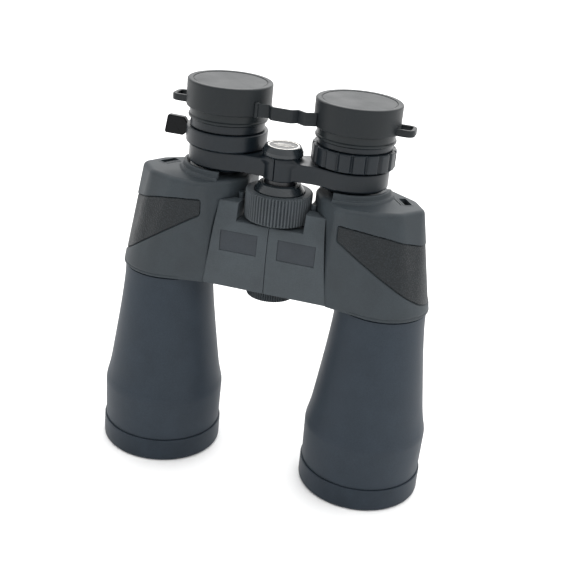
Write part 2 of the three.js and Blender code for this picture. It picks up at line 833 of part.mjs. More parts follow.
// Zoom lever: a paddle that stands out from the zoom ring along -X
function zoomLever() {
  const root = -(ZOOM_RING_RADIUS + CLEARANCE);
  const halfThickness = 1.8;
  const outline = [
    [root, 186],
    [root - 1.5, 185.4],
    [root - 3, 184],
    [-33.6, 184],
    [-34.4, 185],
    [-33.2, 194],
    [-32.2, 194.4],
    [root - 2.6, 194.2],
    [root - 1, 192],
    [root, 191.4],
  ];
  return pushedBack(outline.reverse(), -halfThickness, halfThickness);
}

const RIBS = { bottom: 184.5, count: 18, depth: 0.7, share: 0.7 };

function dioptreRing() {
  const top = RIGHT_NECK_BOTTOM - CLEARANCE;
  const outline = toothedOutline(DIOPTRE_RING_RADIUS, RIBS.depth, RIBS.count, RIBS.share);
  return risen(outline, RIBS.bottom, top)
    .subtract(tube(0, TURNING_BORE, RIBS.bottom - 1, top + 1, SIDES_MEDIUM));
}

// ---------------------------------------------------------------- rain guard

const GUARD = { wall: 1.7, roof: 2, edge: 1.3 };
const LOOP = { reach: 8.1, width: 13, corner: 3, bottom: 203.8, top: 207.5, hole: 4.5, bar: 2.2 };
const STRAP = { y: -5.6, end: 15.3, bottom: 203.8, top: 210.8, thickness: 1.6, shortfall: 1.8 };

// A cup with its strap loop pointing along +X
function guardCup() {
  const { wall, roof, edge } = GUARD;
  const bore = GUARD_RADIUS - wall;
  const cup = turned([
    [0, GUARD_TOP - roof],
    [bore, GUARD_TOP - roof],
    [bore, GUARD_BOTTOM],
    [GUARD_RADIUS, GUARD_BOTTOM],
    [GUARD_RADIUS, GUARD_TOP - edge],
    [GUARD_RADIUS - edge, GUARD_TOP],
    [0, GUARD_TOP],
  ], SIDES_MEDIUM);
  const half = LOOP.width / 2;
  const end = GUARD_RADIUS + LOOP.reach;
  const start = bore + wall / 3;
  const outline = [
    [start, -half],
    [end - LOOP.corner, -half],
    [end, -half + LOOP.corner],
    [end, half - LOOP.corner],
    [end - LOOP.corner, half],
    [start, half],
  ];
  const holeEnd = end - LOOP.bar;
  const holeHalf = half - LOOP.bar;
  const hole = block(holeEnd - LOOP.hole, -holeHalf, LOOP.bottom - 1, holeEnd, holeHalf, LOOP.top + 1);
  const loop = risen(outline, LOOP.bottom, LOOP.top).subtract(hole);
  return cup.add(loop);
}

function guardStrap() {
  const { y, end, bottom, top, thickness, shortfall } = STRAP;
  const centres = [
    [-end, 0],
    [-9, 0],
    [-7.5, -1.2],
    [3, -1.2],
    [5, 0.6],
    [8, 0.6],
    [10, -0.4],
    [end - shortfall, -0.4],
  ];
  const front = centres.map(([x, shift]) => [x, y + shift - thickness / 2]);
  const back = centres.map(([x, shift]) => [x, y + shift + thickness / 2]);
  return risen([...front, ...back.reverse()], bottom, top);
}

// ---------------------------------------------------------------- hinge and tripod pieces

const BUSH_TOP = 118.6;

function hingeAxle() {
  const bore = SCREW_RADIUS + 0.4;
  return tube(bore, AXLE_RADIUS, BUSH_TOP + CLEARANCE, COLLAR.recessFloor - CLEARANCE, SIDES_SMALL);
}

function tripodBush() {
  return tube(STUD_RADIUS + CLEARANCE, AXLE_RADIUS, KNUCKLES.bottom, BUSH_TOP, SIDES_SMALL);
}

const KNOB = {
  radius: 13.3,
  bottom: 106.6,
  top: 112,
  face: 1.5,
  teeth: 20,
  toothDepth: 0.4,
  toothShare: 0.5,
};
const STUD_TOP = 117.8;
const SCREW_BOTTOM = 128;

function tripodKnob() {
  const outline = toothedOutline(KNOB.radius, KNOB.toothDepth, KNOB.teeth, KNOB.toothShare);
  return risen(outline, KNOB.bottom, KNOB.top)
    .subtract(tube(0, STUD_RADIUS + CLEARANCE, KNOB.bottom + KNOB.face, KNOB.top + 1, SIDES_SMALL));
}

function tripodStud() {
  return tube(0, STUD_RADIUS, KNOB.bottom + KNOB.face + CLEARANCE, STUD_TOP, SIDES_SMALL);
}

// ---------------------------------------------------------------- assembly

function addPiece(parent, name, solid, material) {
  const mesh = new THREE.Mesh(toGeometry(solid), material);
  mesh.name = name;
  parent.add(mesh);
  return mesh;
}

function groupAt(x, y) {
  const group = new THREE.Group();
  group.position.set(x, y, 0);
  return group;
}

const binoculars = new THREE.Group();
binoculars.name = 'astronomy_binoculars';

// Pieces of the housing keep their own place; the left half's are mirrored
function addHousing(side, mirror, lugPlaces) {
  const pieces = {
    housing: [housing(lugPlaces), housingCast],
    armour: [armour(), armourRubber],
    grip_inlay: [gripInlay(), gripRubber],
    label_plate: [labelPlate(), plateRubber],
    label_badge: [labelBadge(), badgeFilm],
    upper_prism: [upperPrism(), opticalGlass],
    lower_prism: [lowerPrism(), opticalGlass],
    prism_shelf: [prismShelf(), satinBlack],
  };
  for (const [piece, [solid, material]] of Object.entries(pieces)) {
    addPiece(binoculars, `${side}_${piece}`, mirror ? mirroredSolid(solid) : solid, material);
  }
}

function addObjective(side, sign) {
  const objective = groupAt(sign * OBJECTIVE.x, OBJECTIVE.y);
  addPiece(objective, `${side}_barrel`, barrel(), barrelPaint);
  addPiece(objective, `${side}_objective_lens`, objectiveLens(), opticalGlass);
  addPiece(objective, `${side}_retaining_ring`, retainingRing(), satinBlack);
  addPiece(objective, `${side}_objective_cap`, objectiveCap(), capPlastic);
  binoculars.add(objective);
}

function addEyepiece(side, sign, neckBottom) {
  const eyepiece = groupAt(sign * EYEPIECE.x, EYEPIECE.y);
  addPiece(eyepiece, `${side}_guide_tube`, guideTube(), satinBlack);
  addPiece(eyepiece, `${side}_ocular_tube`, ocularTube(neckBottom), satinBlack);
  addPiece(eyepiece, `${side}_eyecup`, eyecup(), eyecupRubber);
  addPiece(eyepiece, `${side}_eye_lens`, eyeLens(), opticalGlass);
  const { bottom, top, radius, bore } = ZOOM_CELL;
  addPiece(eyepiece, `${side}_zoom_cell`, tube(bore, radius, bottom, top, SIDES_MEDIUM), satinBlack);
  addPiece(eyepiece, `${side}_zoom_lens`, zoomLens(), opticalGlass);
  const cup = addPiece(eyepiece, `${side}_guard_cup`, guardCup(), guardRubber);
  cup.rotation.z = sign > 0 ? 0 : Math.PI;
  binoculars.add(eyepiece);
  return eyepiece;
}

addHousing('left', true, [0, 2]);
addHousing('right', false, [1]);
addObjective('left', -1);
addObjective('right', 1);

const leftEyepiece = addEyepiece('left', -1, LEFT_NECK_BOTTOM);
addPiece(leftEyepiece, 'zoom_ring', zoomRing(), satinBlack);
addPiece(leftEyepiece, 'zoom_lever', zoomLever(), glossBlack);

const rightEyepiece = addEyepiece('right', 1, RIGHT_NECK_BOTTOM);
addPiece(rightEyepiece, 'dioptre_ring', dioptreRing(), satinBlack);

addPiece(binoculars, 'left_bridge_arm', leftArm(), satinBlack);
addPiece(binoculars, 'right_bridge_arm', rightArm(), satinBlack);
addPiece(binoculars, 'guard_strap', guardStrap(), guardRubber);

const hinge = groupAt(HINGE.x, HINGE.y);
addPiece(hinge, 'hinge_axle', hingeAxle(), brass);
addPiece(hinge, 'focus_wheel', focusWheel(), armourRubber);
addPiece(hinge, 'focus_screw', tube(0, SCREW_RADIUS, SCREW_BOTTOM, HUB.top, SIDES_SMALL), steel);
addPiece(hinge, 'hub_sleeve', hubSleeve(), satinBlack);
addPiece(hinge, 'hub_cap', hubCap(), satinBlack);
addPiece(hinge, 'hub_disc', hubDisc(), discMetal);
addPiece(hinge, 'tripod_bush', tripodBush(), brass);
addPiece(hinge, 'tripod_knob', tripodKnob(), satinBlack);
addPiece(hinge, 'tripod_stud', tripodStud(), steel);
binoculars.add(hinge);

export default binoculars;
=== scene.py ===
"""Porro-prism zoom binoculars: the looks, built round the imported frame.

Shapes are worked out in millimetres and scaled to metres when a piece is added. Right is +X. What the
two halves share is built for the right half and mirrored for the left.
"""

import itertools
import math

import bmesh
import bpy
import numpy as np
from mathutils import Matrix, Vector


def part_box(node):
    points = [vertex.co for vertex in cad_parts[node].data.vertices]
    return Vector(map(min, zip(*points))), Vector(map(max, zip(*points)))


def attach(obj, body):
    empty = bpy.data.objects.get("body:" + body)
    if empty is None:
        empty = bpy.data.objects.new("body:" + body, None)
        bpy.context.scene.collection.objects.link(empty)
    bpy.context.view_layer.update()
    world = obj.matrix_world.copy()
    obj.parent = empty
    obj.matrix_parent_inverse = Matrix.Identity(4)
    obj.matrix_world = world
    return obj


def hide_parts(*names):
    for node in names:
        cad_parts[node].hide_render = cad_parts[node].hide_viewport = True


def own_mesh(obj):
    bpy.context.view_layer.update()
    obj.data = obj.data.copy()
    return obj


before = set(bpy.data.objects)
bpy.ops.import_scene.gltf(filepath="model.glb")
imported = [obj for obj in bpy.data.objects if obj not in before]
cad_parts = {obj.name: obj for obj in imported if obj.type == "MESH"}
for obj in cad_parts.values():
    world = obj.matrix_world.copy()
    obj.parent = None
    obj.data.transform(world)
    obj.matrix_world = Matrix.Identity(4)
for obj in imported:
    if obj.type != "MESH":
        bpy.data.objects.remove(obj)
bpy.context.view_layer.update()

MM = 0.001
GAP = 0.3  # between pieces that touch or slide
SIDES = ("left", "right")
SIGN = {"left": -1, "right": 1}


def extent(node):
    """Lowest and highest corner of a CAD node, in millimetres."""
    low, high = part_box(node)
    return np.array(low) / MM, np.array(high) / MM


def axis_of(node):
    low, high = extent(node)
    return (low[:2] + high[:2]) / 2


def bottom_of(node):
    return extent(node)[0][2]


def top_of(node):
    return extent(node)[1][2]


def radius_of(node):
    low, high = extent(node)
    return (high[1] - low[1]) / 2


OBJECTIVE = axis_of("right_barrel")
EYEPIECE = axis_of("right_ocular_tube")
HINGE = axis_of("hub_disc")
HOUSING_BOTTOM = bottom_of("right_armour")
HOUSING_TOP = top_of("right_guide_tube") - GAP


# ---- profiles and meshes


def filleted(corners, closed=True, steps=5):
    """Points along a line through corners (x, y) or (x, y, fillet radius), with the corners rounded."""
    places = [np.array(c[:2], float) for c in corners]
    radii = [c[2] if len(c) > 2 else 0 for c in corners]
    count = len(places)
    points = []
    for i, here in enumerate(places):
        at_end = not closed and i in (0, count - 1)
        if at_end or radii[i] == 0:
            points.append(here)
            continue
        back = places[i - 1] - here
        ahead = places[(i + 1) % count] - here
        back_length, ahead_length = np.linalg.norm(back), np.linalg.norm(ahead)
        back, ahead = back / back_length, ahead / ahead_length
        half = math.acos(np.clip(back @ ahead, -1, 1)) / 2
        if half > math.radians(89.5):
            points.append(here)
            continue
        reach = min(radii[i] / math.tan(half), 0.48 * back_length, 0.48 * ahead_length)
        radius = reach * math.tan(half)
        middle = here + (back + ahead) / np.linalg.norm(back + ahead) * radius / math.sin(half)
        first = here + back * reach - middle
        last = here + ahead * reach - middle
        sweep = math.pi - 2 * half
        for k in range(steps + 1):
            t = k / steps
            mixed = math.sin((1 - t) * sweep) * first + math.sin(t * sweep) * last
            points.append(middle + mixed / math.sin(sweep))
    return np.array(points)


def through(points, steps=6):
    """A smooth curve through points (Catmull-Rom)."""
    points = np.array(points, float)
    padded = np.vstack([2 * points[0] - points[1], points, 2 * points[-1] - points[-2]])
    curve = []
    for a, b, c, d in zip(padded, padded[1:], padded[2:], padded[3:]):
        for t in np.linspace(0, 1, steps, endpoint=False):
            curve.append(
                0.5 * (2 * b + (c - a) * t + (2 * a - 5 * b + 4 * c - d) * t**2
                       + (3 * b - a - 3 * c + d) * t**3)
            )
    curve.append(points[-1])
    return [tuple(p) for p in curve]


def new_object(name, vertices, faces, sharp=35):
    """A mesh object, in millimetres, with its faces pointing out and edges over sharp degrees kept crisp."""
    mesh = bpy.data.meshes.new(name)
    mesh.from_pydata(np.asarray(vertices).tolist(), [], faces)
    obj = bpy.data.objects.new(name, mesh)
    bpy.context.scene.collection.objects.link(obj)
    tidy_mesh(obj, sharp)
    return obj


def tidy_mesh(obj, sharp=35):
    edit = bmesh.new()
    edit.from_mesh(obj.data)
    bmesh.ops.remove_doubles(edit, verts=edit.verts, dist=1e-4)
    bmesh.ops.dissolve_degenerate(edit, dist=1e-5, edges=edit.edges)
    bmesh.ops.recalc_face_normals(edit, faces=edit.faces)
    edit.to_mesh(obj.data)
    edit.free()
    obj.data.shade_smooth()
    obj.data.set_sharp_from_angle(angle=math.radians(sharp))


def skin(name, rings, closed=True):
    """Joins rings of points into a surface. A ring of one point is a pole; open ends get a face."""
    rings = [np.atleast_2d(r) for r in rings]
    starts = np.cumsum([0] + [len(r) for r in rings])
    faces = []
    pairs = list(range(len(rings) - 1)) + ([len(rings) - 1] if closed else [])
    for i in pairs:
        j = (i + 1) % len(rings)
        a, b, na, nb = starts[i], starts[j], len(rings[i]), len(rings[j])
        for k in range(max(na, nb)):
            m = (k + 1) % max(na, nb)
            if na == 1:
                faces.append((a, b + m, b + k))
            elif nb == 1:
                faces.append((a + k, a + m, b))
            else:
                faces.append((a + k, a + m, b + m, b + k))
    if not closed:
        for i in (0, len(rings) - 1):
            if len(rings[i]) > 1:
                faces.append(tuple(range(starts[i], starts[i + 1])))
    return new_object(name, np.vstack(rings), faces)


def lathe(name, corners, axis=(0, 0), sides=144, swell=None, closed=True, steps=5):
    """A round piece about a vertical axis, from corners (radius, height, fillet).

    swell(radius, height, angles) changes the radius round a ring, for ribs and knurls.
    """
    profile = filleted(corners, closed, steps)
    angles = np.linspace(0, 2 * math.pi, sides, endpoint=False)
    rings = []
    for radius, height in profile:
        if radius < 1e-6:
            rings.append([(axis[0], axis[1], height)])
            continue
        radii = radius if swell is None else swell(radius, height, angles)
        ring = np.empty((sides, 3))
        ring[:, 0] = axis[0] + radii * np.cos(angles)
        ring[:, 1] = axis[1] + radii * np.sin(angles)
        ring[:, 2] = height
        rings.append(ring)
    return skin(name, rings, closed)


def offset(outline, inset):
    """A closed 2-D outline, listed anticlockwise, pulled in by inset."""
    ahead = np.roll(outline, -1, axis=0) - np.roll(outline, 1, axis=0)
    ahead /= np.linalg.norm(ahead, axis=1)[:, None]
    inward = np.stack([-ahead[:, 1], ahead[:, 0]], axis=1)
    return outline + inward * inset


def pillow(name, outline, low, high, edge, place):
    """An outline given thickness from low to high, its rims rounded by edge. place(u, v, w) gives points."""
    turn = np.linspace(0, math.pi / 2, 5)
    levels = [(1.3 * edge, low)]
    levels += [(edge * (1 - math.sin(t)), low + edge * (1 - math.cos(t))) for t in turn]
    levels += [(edge * (1 - math.cos(t)), high - edge * (1 - math.sin(t))) for t in turn]
    levels += [(1.3 * edge, high)]
    rings = []
    for inset, height in levels:
        flat = offset(outline, inset)
        rings.append(place(flat[:, 0], flat[:, 1], np.full(len(flat), height)))
    return skin(name, rings, closed=False)


def sweep(name, path, centre, width, height, corner):
    """A flat band of rounded section along a level path of [x, y] points."""
    path = np.array(path, float)
    ahead = np.gradient(path, axis=0)
    ahead /= np.linalg.norm(ahead, axis=1)[:, None]
    across = np.stack([-ahead[:, 1], ahead[:, 0]], axis=1)
    w, h = width / 2, height / 2
    section = filleted([(-w, -h, corner), (w, -h, corner), (w, h, corner), (-w, h, corner)])
    rings = [
        np.column_stack([place + side * section[:, :1], centre + section[:, 1]])
        for place, side in zip(path, across)
    ]
    return skin(name, rings, closed=False)


def bake(obj):
    """Applies the modifiers."""
    evaluated = obj.evaluated_get(bpy.context.evaluated_depsgraph_get())
    mesh = bpy.data.meshes.new_from_object(evaluated)
    obj.modifiers.clear()
    obj.data = mesh
    return obj


def combined(obj, tool, operation):
    """obj joined to, cut by or kept inside tool, which is used up."""
    modifier = obj.modifiers.new("combine", "BOOLEAN")
    modifier.operation = operation
    modifier.solver = "MANIFOLD"
    modifier.object = tool
    bake(obj)
    bpy.data.objects.remove(tool)
    tidy_mesh(obj)
    return obj


def joined(obj, *tools):
    for tool in tools:
        combined(obj, tool, "UNION")
    return obj


def cut(obj, *tools):
    for tool in tools:
        combined(obj, tool, "DIFFERENCE")
    return obj


def box(low, high, edge=0.0, turn=0.0, centre=(0, 0)):
    """A block from its two corners, with rounded upright edges, turned about centre."""
    x0, y0, z0 = low
    x1, y1, z1 = high
    outline = filleted([(x0, y0, edge), (x1, y0, edge), (x1, y1, edge), (x0, y1, edge)])
    c, s = math.cos(turn), math.sin(turn)
    spun = outline @ np.array([[c, s], [-s, c]]) + np.array(centre)
    rings = [np.column_stack([spun, np.full(len(spun), z)]) for z in (z0, z1)]
    return skin("block", rings, closed=False)


def prism(outline, near, far):
    """An outline in X and Z pushed through from y = near to y = far."""
    outline = np.array(outline, float)
    rings = [np.column_stack([outline[:, 0], np.full(len(outline), y), outline[:, 1]]) for y in (near, far)]
    return skin("prism", rings, closed=False)


def mirrored(obj, name):
    copy = bpy.data.objects.new(name, obj.data.copy())
    bpy.context.scene.collection.objects.link(copy)
    copy.data.transform(Matrix.Scale(-1, 4, (1, 0, 0)))
    copy.data.flip_normals()
    return copy


def carved(name, low, high, pitch, distance):
    """The surface where distance(x, y, z) is zero, found on a grid and then drawn onto the surface."""
    axes = [np.arange(a, b + pitch, pitch) for a, b in zip(low, high)]
    field = distance(*np.meshgrid(*axes, indexing="ij"))
    inside = field < 0
    cells = np.array(field.shape) - 1
    total = np.zeros((*cells, 3))
    hits = np.zeros(cells)
    for axis, da, db in itertools.product(range(3), (0, 1), (0, 1)):
        start = np.insert([da, db], axis, 0)
        end = np.insert([da, db], axis, 1)
        first = tuple(slice(s, s + n) for s, n in zip(start, cells))
        second = tuple(slice(s, s + n) for s, n in zip(end, cells))
        crossing = inside[first] != inside[second]
        drop = field[first] - field[second]
        share = np.where(crossing, field[first] / np.where(drop == 0, 1, drop), 0)
        for k in range(3):
            total[..., k] += np.where(crossing, start[k] + (share if k == axis else 0), 0)
        hits += crossing
    used = hits > 0
    number = np.full(cells, -1)
    number[used] = np.arange(used.sum())
    index = np.argwhere(used)
    places = np.array([a[0] for a in axes]) + pitch * (index + total[used] / hits[used][:, None])
    faces = []
    for axis in range(3):
        a, b = [k for k in range(3) if k != axis]
        first = [slice(1, -1)] * 3
        second = [slice(1, -1)] * 3
        first[axis], second[axis] = slice(0, -1), slice(1, None)
        crossing = np.argwhere(inside[tuple(first)] != inside[tuple(second)])
        base = crossing + 1
        base[:, axis] -= 1
        quads = []
        for da, db in ((0, 0), (1, 0), (1, 1), (0, 1)):
            cell = base.copy()
            cell[:, a] -= da
            cell[:, b] -= db
            quads.append(number[tuple(cell.T)])
        faces += np.stack(quads, axis=1).tolist()
    step = 0.02
    for _ in range(2):
        here = distance(*places.T)
        slope = np.stack([
            (distance(*(places + step * np.eye(3)[k]).T) - here) / step for k in range(3)
        ], axis=1)
        size = np.maximum((slope**2).sum(axis=1), 0.05)
        move = slope * (here / size)[:, None]
        places -= np.clip(move, -pitch / 2, pitch / 2)
    return new_object(name, places, faces, sharp=80)


# ---- materials


SHEEN = {"Specular_IOR_Level": 0.28}


class Finish:
    """A node material round one Principled shader. Textures run in the object's own millimetres."""

    def __init__(self, name, roughness, metallic=0.0, **sockets):
        self.material = bpy.data.materials.new(name)
        self.material.use_nodes = True
        self.tree = self.material.node_tree
        self.tree.nodes.clear()
        output = self.add("ShaderNodeOutputMaterial")
        self.shader = self.add("ShaderNodeBsdfPrincipled")
        self.join(self.shader.outputs["BSDF"], output.inputs["Surface"])
        self.shader.inputs["Roughness"].default_value = roughness
        self.shader.inputs["Metallic"].default_value = metallic
        for socket, value in sockets.items():
            self.shader.inputs[socket.replace("_", " ")].default_value = value
        place = self.add("ShaderNodeTexCoord")
        scale = self.add("ShaderNodeMapping")
        scale.inputs["Scale"].default_value = (1 / MM,) * 3
        self.join(place.outputs["Object"], scale.inputs["Vector"])
        self.place = scale.outputs["Vector"]
        self.normal = None

    def add(self, kind, **settings):
        node = self.tree.nodes.new(kind)
        for key, value in settings.items():
            setattr(node, key, value)
        return node

    def join(self, source, target):
        self.tree.links.new(source, target)

    def stretched(self, scale):
        node = self.add("ShaderNodeMapping")
        node.inputs["Scale"].default_value = scale
        self.join(self.place, node.inputs["Vector"])
        return node.outputs["Vector"]

    def noise(self, size, detail=2.0, place=None):
        """Soft noise whose patches are about size millimetres across."""
        node = self.add("ShaderNodeTexNoise")
        node.inputs["Scale"].default_value = 1 / size
        node.inputs["Detail"].default_value = detail
        self.join(place or self.place, node.inputs["Vector"])
        return node.outputs["Fac"]

    def pebbles(self, size):
        node = self.add("ShaderNodeTexVoronoi", feature="SMOOTH_F1")
        node.inputs["Scale"].default_value = 1 / size
        node.inputs["Smoothness"].default_value = 0.35
        self.join(self.place, node.inputs["Vector"])
        return node.outputs["Distance"]

    def ramp(self, factor, stops):
        node = self.add("ShaderNodeValToRGB")
        first, last = node.color_ramp.elements
        while len(node.color_ramp.elements) < len(stops):
            node.color_ramp.elements.new(0.5)
        for element, (position, colour) in zip(node.color_ramp.elements, stops):
            element.position = position
            element.color = (*colour, 1)
        self.join(factor, node.inputs["Fac"])
        return node.outputs["Color"]

    def mixed(self, factor, a, b, blend="MIX"):
        node = self.add("ShaderNodeMix", data_type="RGBA", blend_type=blend)
        for value, socket in ((factor, 0), (a, 6), (b, 7)):
            if isinstance(value, bpy.types.NodeSocket):
                self.join(value, node.inputs[socket])
            else:
                node.inputs[socket].default_value = value
        return node.outputs[2]

    def spread(self, factor, low, high, start=0.3, end=0.7):
        node = self.add("ShaderNodeMapRange")
        values = {"From Min": start, "From Max": end, "To Min": low, "To Max": high}
        for socket, value in values.items():
            node.inputs[socket].default_value = value
        self.join(factor, node.inputs["Value"])
        return node.outputs["Result"]

    def bump(self, height, depth):
        """Relief of depth millimetres, on top of any that is there."""
        node = self.add("ShaderNodeBump")
        node.inputs["Distance"].default_value = depth * MM
        self.join(height, node.inputs["Height"])
        if self.normal is not None:
            self.join(self.normal, node.inputs["Normal"])
        self.normal = node.outputs["Normal"]
        self.join(self.normal, self.shader.inputs["Normal"])

    def colour(self, socket):
        self.join(socket, self.shader.inputs["Base Color"])

    def rough(self, socket):
        self.join(socket, self.shader.inputs["Roughness"])


def shade(colour, amount):
    return tuple(min(1.0, c * amount) for c in colour)


def moulded(name, colour, roughness, grain=0.55, depth=0.02, mottle=0.1, wear=0.35, **sockets):
    """Moulded rubber or plastic: a fine spark-eroded grain, faint clouding, and paler worn edges."""
    finish = Finish(name, roughness, **sockets)
    clouds = finish.noise(14, 3)
    base = finish.ramp(clouds, [(0.35, shade(colour, 1 - mottle)), (0.65, shade(colour, 1 + mottle))])
    specks = finish.noise(grain, 2)
    tone = finish.ramp(specks, [(0.35, (0.86,) * 3), (0.65, (1.0,) * 3)])
    base = finish.mixed(1.0, base, tone, "MULTIPLY")
    worn = finish.add("ShaderNodeNewGeometry").outputs["Pointiness"]
    edge = finish.spread(worn, 0.0, wear, 0.53, 0.62)
    base = finish.mixed(edge, base, (*shade(colour, 2.2), 1))
    finish.colour(base)
    finish.rough(finish.spread(clouds, roughness - 0.04, roughness + 0.05))
    finish.bump(specks, depth)
    finish.bump(finish.noise(6, 2), 0.015)
    return finish.material


def pebbled(name, colour, roughness):
    """The grip panels: small rounded pebbles, with the valleys between them painted darker as shade and the
    pebble tops painted lighter.
    """
    finish = Finish(name, roughness, **SHEEN)
    cells = finish.pebbles(0.8)
    clouds = finish.noise(12, 3)
    # painted shade: the colour runs from lighter pebble tops down to darker valleys, where shade would fall
    base = finish.ramp(cells, [(0.1, shade(colour, 1.3)), (0.6, shade(colour, 0.6))])
    tone = finish.ramp(clouds, [(0.3, (0.88,) * 3), (0.7, (1.0,) * 3)])
    finish.colour(finish.mixed(1.0, base, tone, "MULTIPLY"))
    finish.rough(finish.spread(clouds, roughness - 0.05, roughness + 0.06))
    finish.bump(finish.spread(cells, 1.0, 0.0, 0.0, 0.6), 0.2)
    finish.bump(finish.noise(0.4, 2), 0.02)
    return finish.material


def turned_metal(name, colour, roughness):
    """Lathe-turned metal: fine rings from the tool, and a slight tarnish."""
    finish = Finish(name, roughness, metallic=1.0)
    rings = finish.noise(0.35, 2, finish.stretched((0.06, 0.06, 1.0)))
    tarnish = finish.noise(5, 3)
    base = finish.ramp(tarnish, [(0.35, shade(colour, 0.82)), (0.65, shade(colour, 1.06))])
    finish.colour(base)
    finish.rough(finish.spread(rings, roughness - 0.08, roughness + 0.1))
    finish.bump(rings, 0.01)
    return finish.material


def glass(name, colour, roughness, film):
    """Optical glass with a coating; film is the coating's thickness in nanometres."""
    finish = Finish(name, roughness, Transmission_Weight=0.92, IOR=1.52, Thin_Film_Thickness=film)
    dust = finish.noise(3, 4)
    finish.colour(finish.ramp(dust, [(0.3, shade(colour, 0.95)), (0.7, colour)]))
    finish.rough(finish.spread(dust, roughness, roughness + 0.03))
    return finish.material


DULL = {"Specular_IOR_Level": 0.14}
MATERIALS = {
    "housing_cast": moulded("housing_cast", (0.02, 0.024, 0.027), 0.5, grain=0.8, depth=0.04, **SHEEN),
    "armour_rubber": moulded("armour_rubber", (0.029, 0.037, 0.043), 0.54, depth=0.03, **SHEEN),
    "grip_rubber": pebbled("grip_rubber", (0.011, 0.015, 0.018), 0.5),
    "plate_rubber": moulded("plate_rubber", (0.045, 0.055, 0.062), 0.56, depth=0.03, **SHEEN),
    "wheel_rubber": moulded("wheel_rubber", (0.052, 0.061, 0.068), 0.5, **SHEEN),
    "badge_film": moulded("badge_film", (0.026, 0.032, 0.039), 0.45, depth=0.008, wear=0.1, **SHEEN),
    "barrel_paint": moulded("barrel_paint", (0.028, 0.037, 0.048), 0.5, depth=0.01, mottle=0.06, **DULL),
    "cap_plastic": moulded("cap_plastic", (0.021, 0.029, 0.039), 0.45, depth=0.01, **DULL),
    "satin_black": moulded("satin_black", (0.013, 0.018, 0.022), 0.38, depth=0.008, **SHEEN),
    "eyepiece_black": moulded("eyepiece_black", (0.007, 0.011, 0.015), 0.34, depth=0.008, **SHEEN),
    "gloss_black": moulded("gloss_black", (0.001, 0.002, 0.003), 0.22, depth=0.003, wear=0.1, **DULL),
    "collar_black": moulded("collar_black", (0.014, 0.019, 0.023), 0.26, depth=0.003),
    "eyecup_rubber": moulded("eyecup_rubber", (0.008, 0.012, 0.014), 0.36, depth=0.008, **SHEEN),
    "guard_rubber": moulded("guard_rubber", (0.008, 0.011, 0.013), 0.48, grain=0.5, depth=0.03, **SHEEN),
    "blackened_metal": moulded("blackened_metal", (0.006, 0.007, 0.009), 0.3, depth=0.01),
    "brass": turned_metal("brass", (0.55, 0.38, 0.13), 0.32),
    "steel": turned_metal("steel", (0.45, 0.45, 0.46), 0.3),
    "prism_glass": glass("prism_glass", (0.86, 0.92, 0.9), 0.05, 0),
    "coated_glass": glass("coated_glass", (0.7, 0.86, 0.82), 0.02, 420),
    "disc_metal": moulded("disc_metal", (0.02, 0.015, 0.013), 0.3, depth=0.006, wear=0.0),
    "disc_bright": turned_metal("disc_bright", (0.72, 0.7, 0.66), 0.28),
}


def add(obj, body, finish, *nodes, slot=None, even=True):
    """Puts a finished piece, in millimetres, into the model: scale, material, body and CAD nodes. The slot
    argument is not used.
    """
    obj.data.transform(Matrix.Scale(MM, 4))
    obj.data.materials.clear()
    obj.data.materials.append(MATERIALS[finish])
    if even:
        modifier = obj.modifiers.new("even_shading", "WEIGHTED_NORMAL")
        modifier.keep_sharp = True
    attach(obj, body)
    slot or finish
    if nodes:
        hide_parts(*nodes)
    return obj


# ---- the prism housing's form

# The outline is the tight band round a few circles [x, y, radius]. It changes evenly from the bottom,
# where it hugs the barrel, to the top, where it is a pointed oval over the prisms.
BOTTOM_CIRCLES = np.array([
    [OBJECTIVE[0], OBJECTIVE[1], 25.8],
    [36, -13.5, 7],
    [27, 2, 8.5],
    [28, 19, 9],
    [40, 19, 10],
])
TOP_CIRCLES = np.array([
    [72, -3.5, 5.3],
    [66, 4.5, 6.8],
    [62.5, -10.5, 8.5],
    [51, -15, 8.8],
    [40.5, -16.4, 8.4],
    [30, -7.5, 7],
    [27, 2, 8.5],
    [28, 19, 9],
    [40, 20, 10],
])
AROUND = 520  # points round an outline
ARMOUR_WALL = 2.2


def band(circles, inset, facing):
    normal = np.stack([np.cos(facing), np.sin(facing)], axis=1)
    reach = normal @ circles[:, :2].T + circles[:, 2]
    best = circles[np.argmax(reach, axis=1)]
    return best[:, :2] + normal * (best[:, 2:] - inset)


def body_curve(height, inset):
    """The outline at a height as a dense closed line, and the length along it at each point."""
    facing = np.linspace(0, 2 * math.pi, 1441)
    share = (height - HOUSING_BOTTOM) / (HOUSING_TOP - HOUSING_BOTTOM)
    line = band(BOTTOM_CIRCLES, inset, facing) * (1 - share) + band(TOP_CIRCLES, inset, facing) * share
    along = np.concatenate([[0], np.cumsum(np.linalg.norm(np.diff(line, axis=0), axis=1))])
    return line, along


def on_curve(line, along, places):
    return np.stack([np.interp(places, along, line[:, k]) for k in (0, 1)], axis=1)


def body_outline(height, inset, count=AROUND):
    line, along = body_curve(height, inset)
    return on_curve(line, along, np.linspace(0, along[-1], count, endpoint=False))


def level(outline, height):
    return np.column_stack([outline, np.full(len(outline), height)])


def ring_about(axis, radius, height, like):
    """A circle whose points lie in the same directions from axis as the points of another ring."""
    away = like - axis
    away = away / np.linalg.norm(away, axis=1)[:, None]
    return level(axis + radius * away, height)


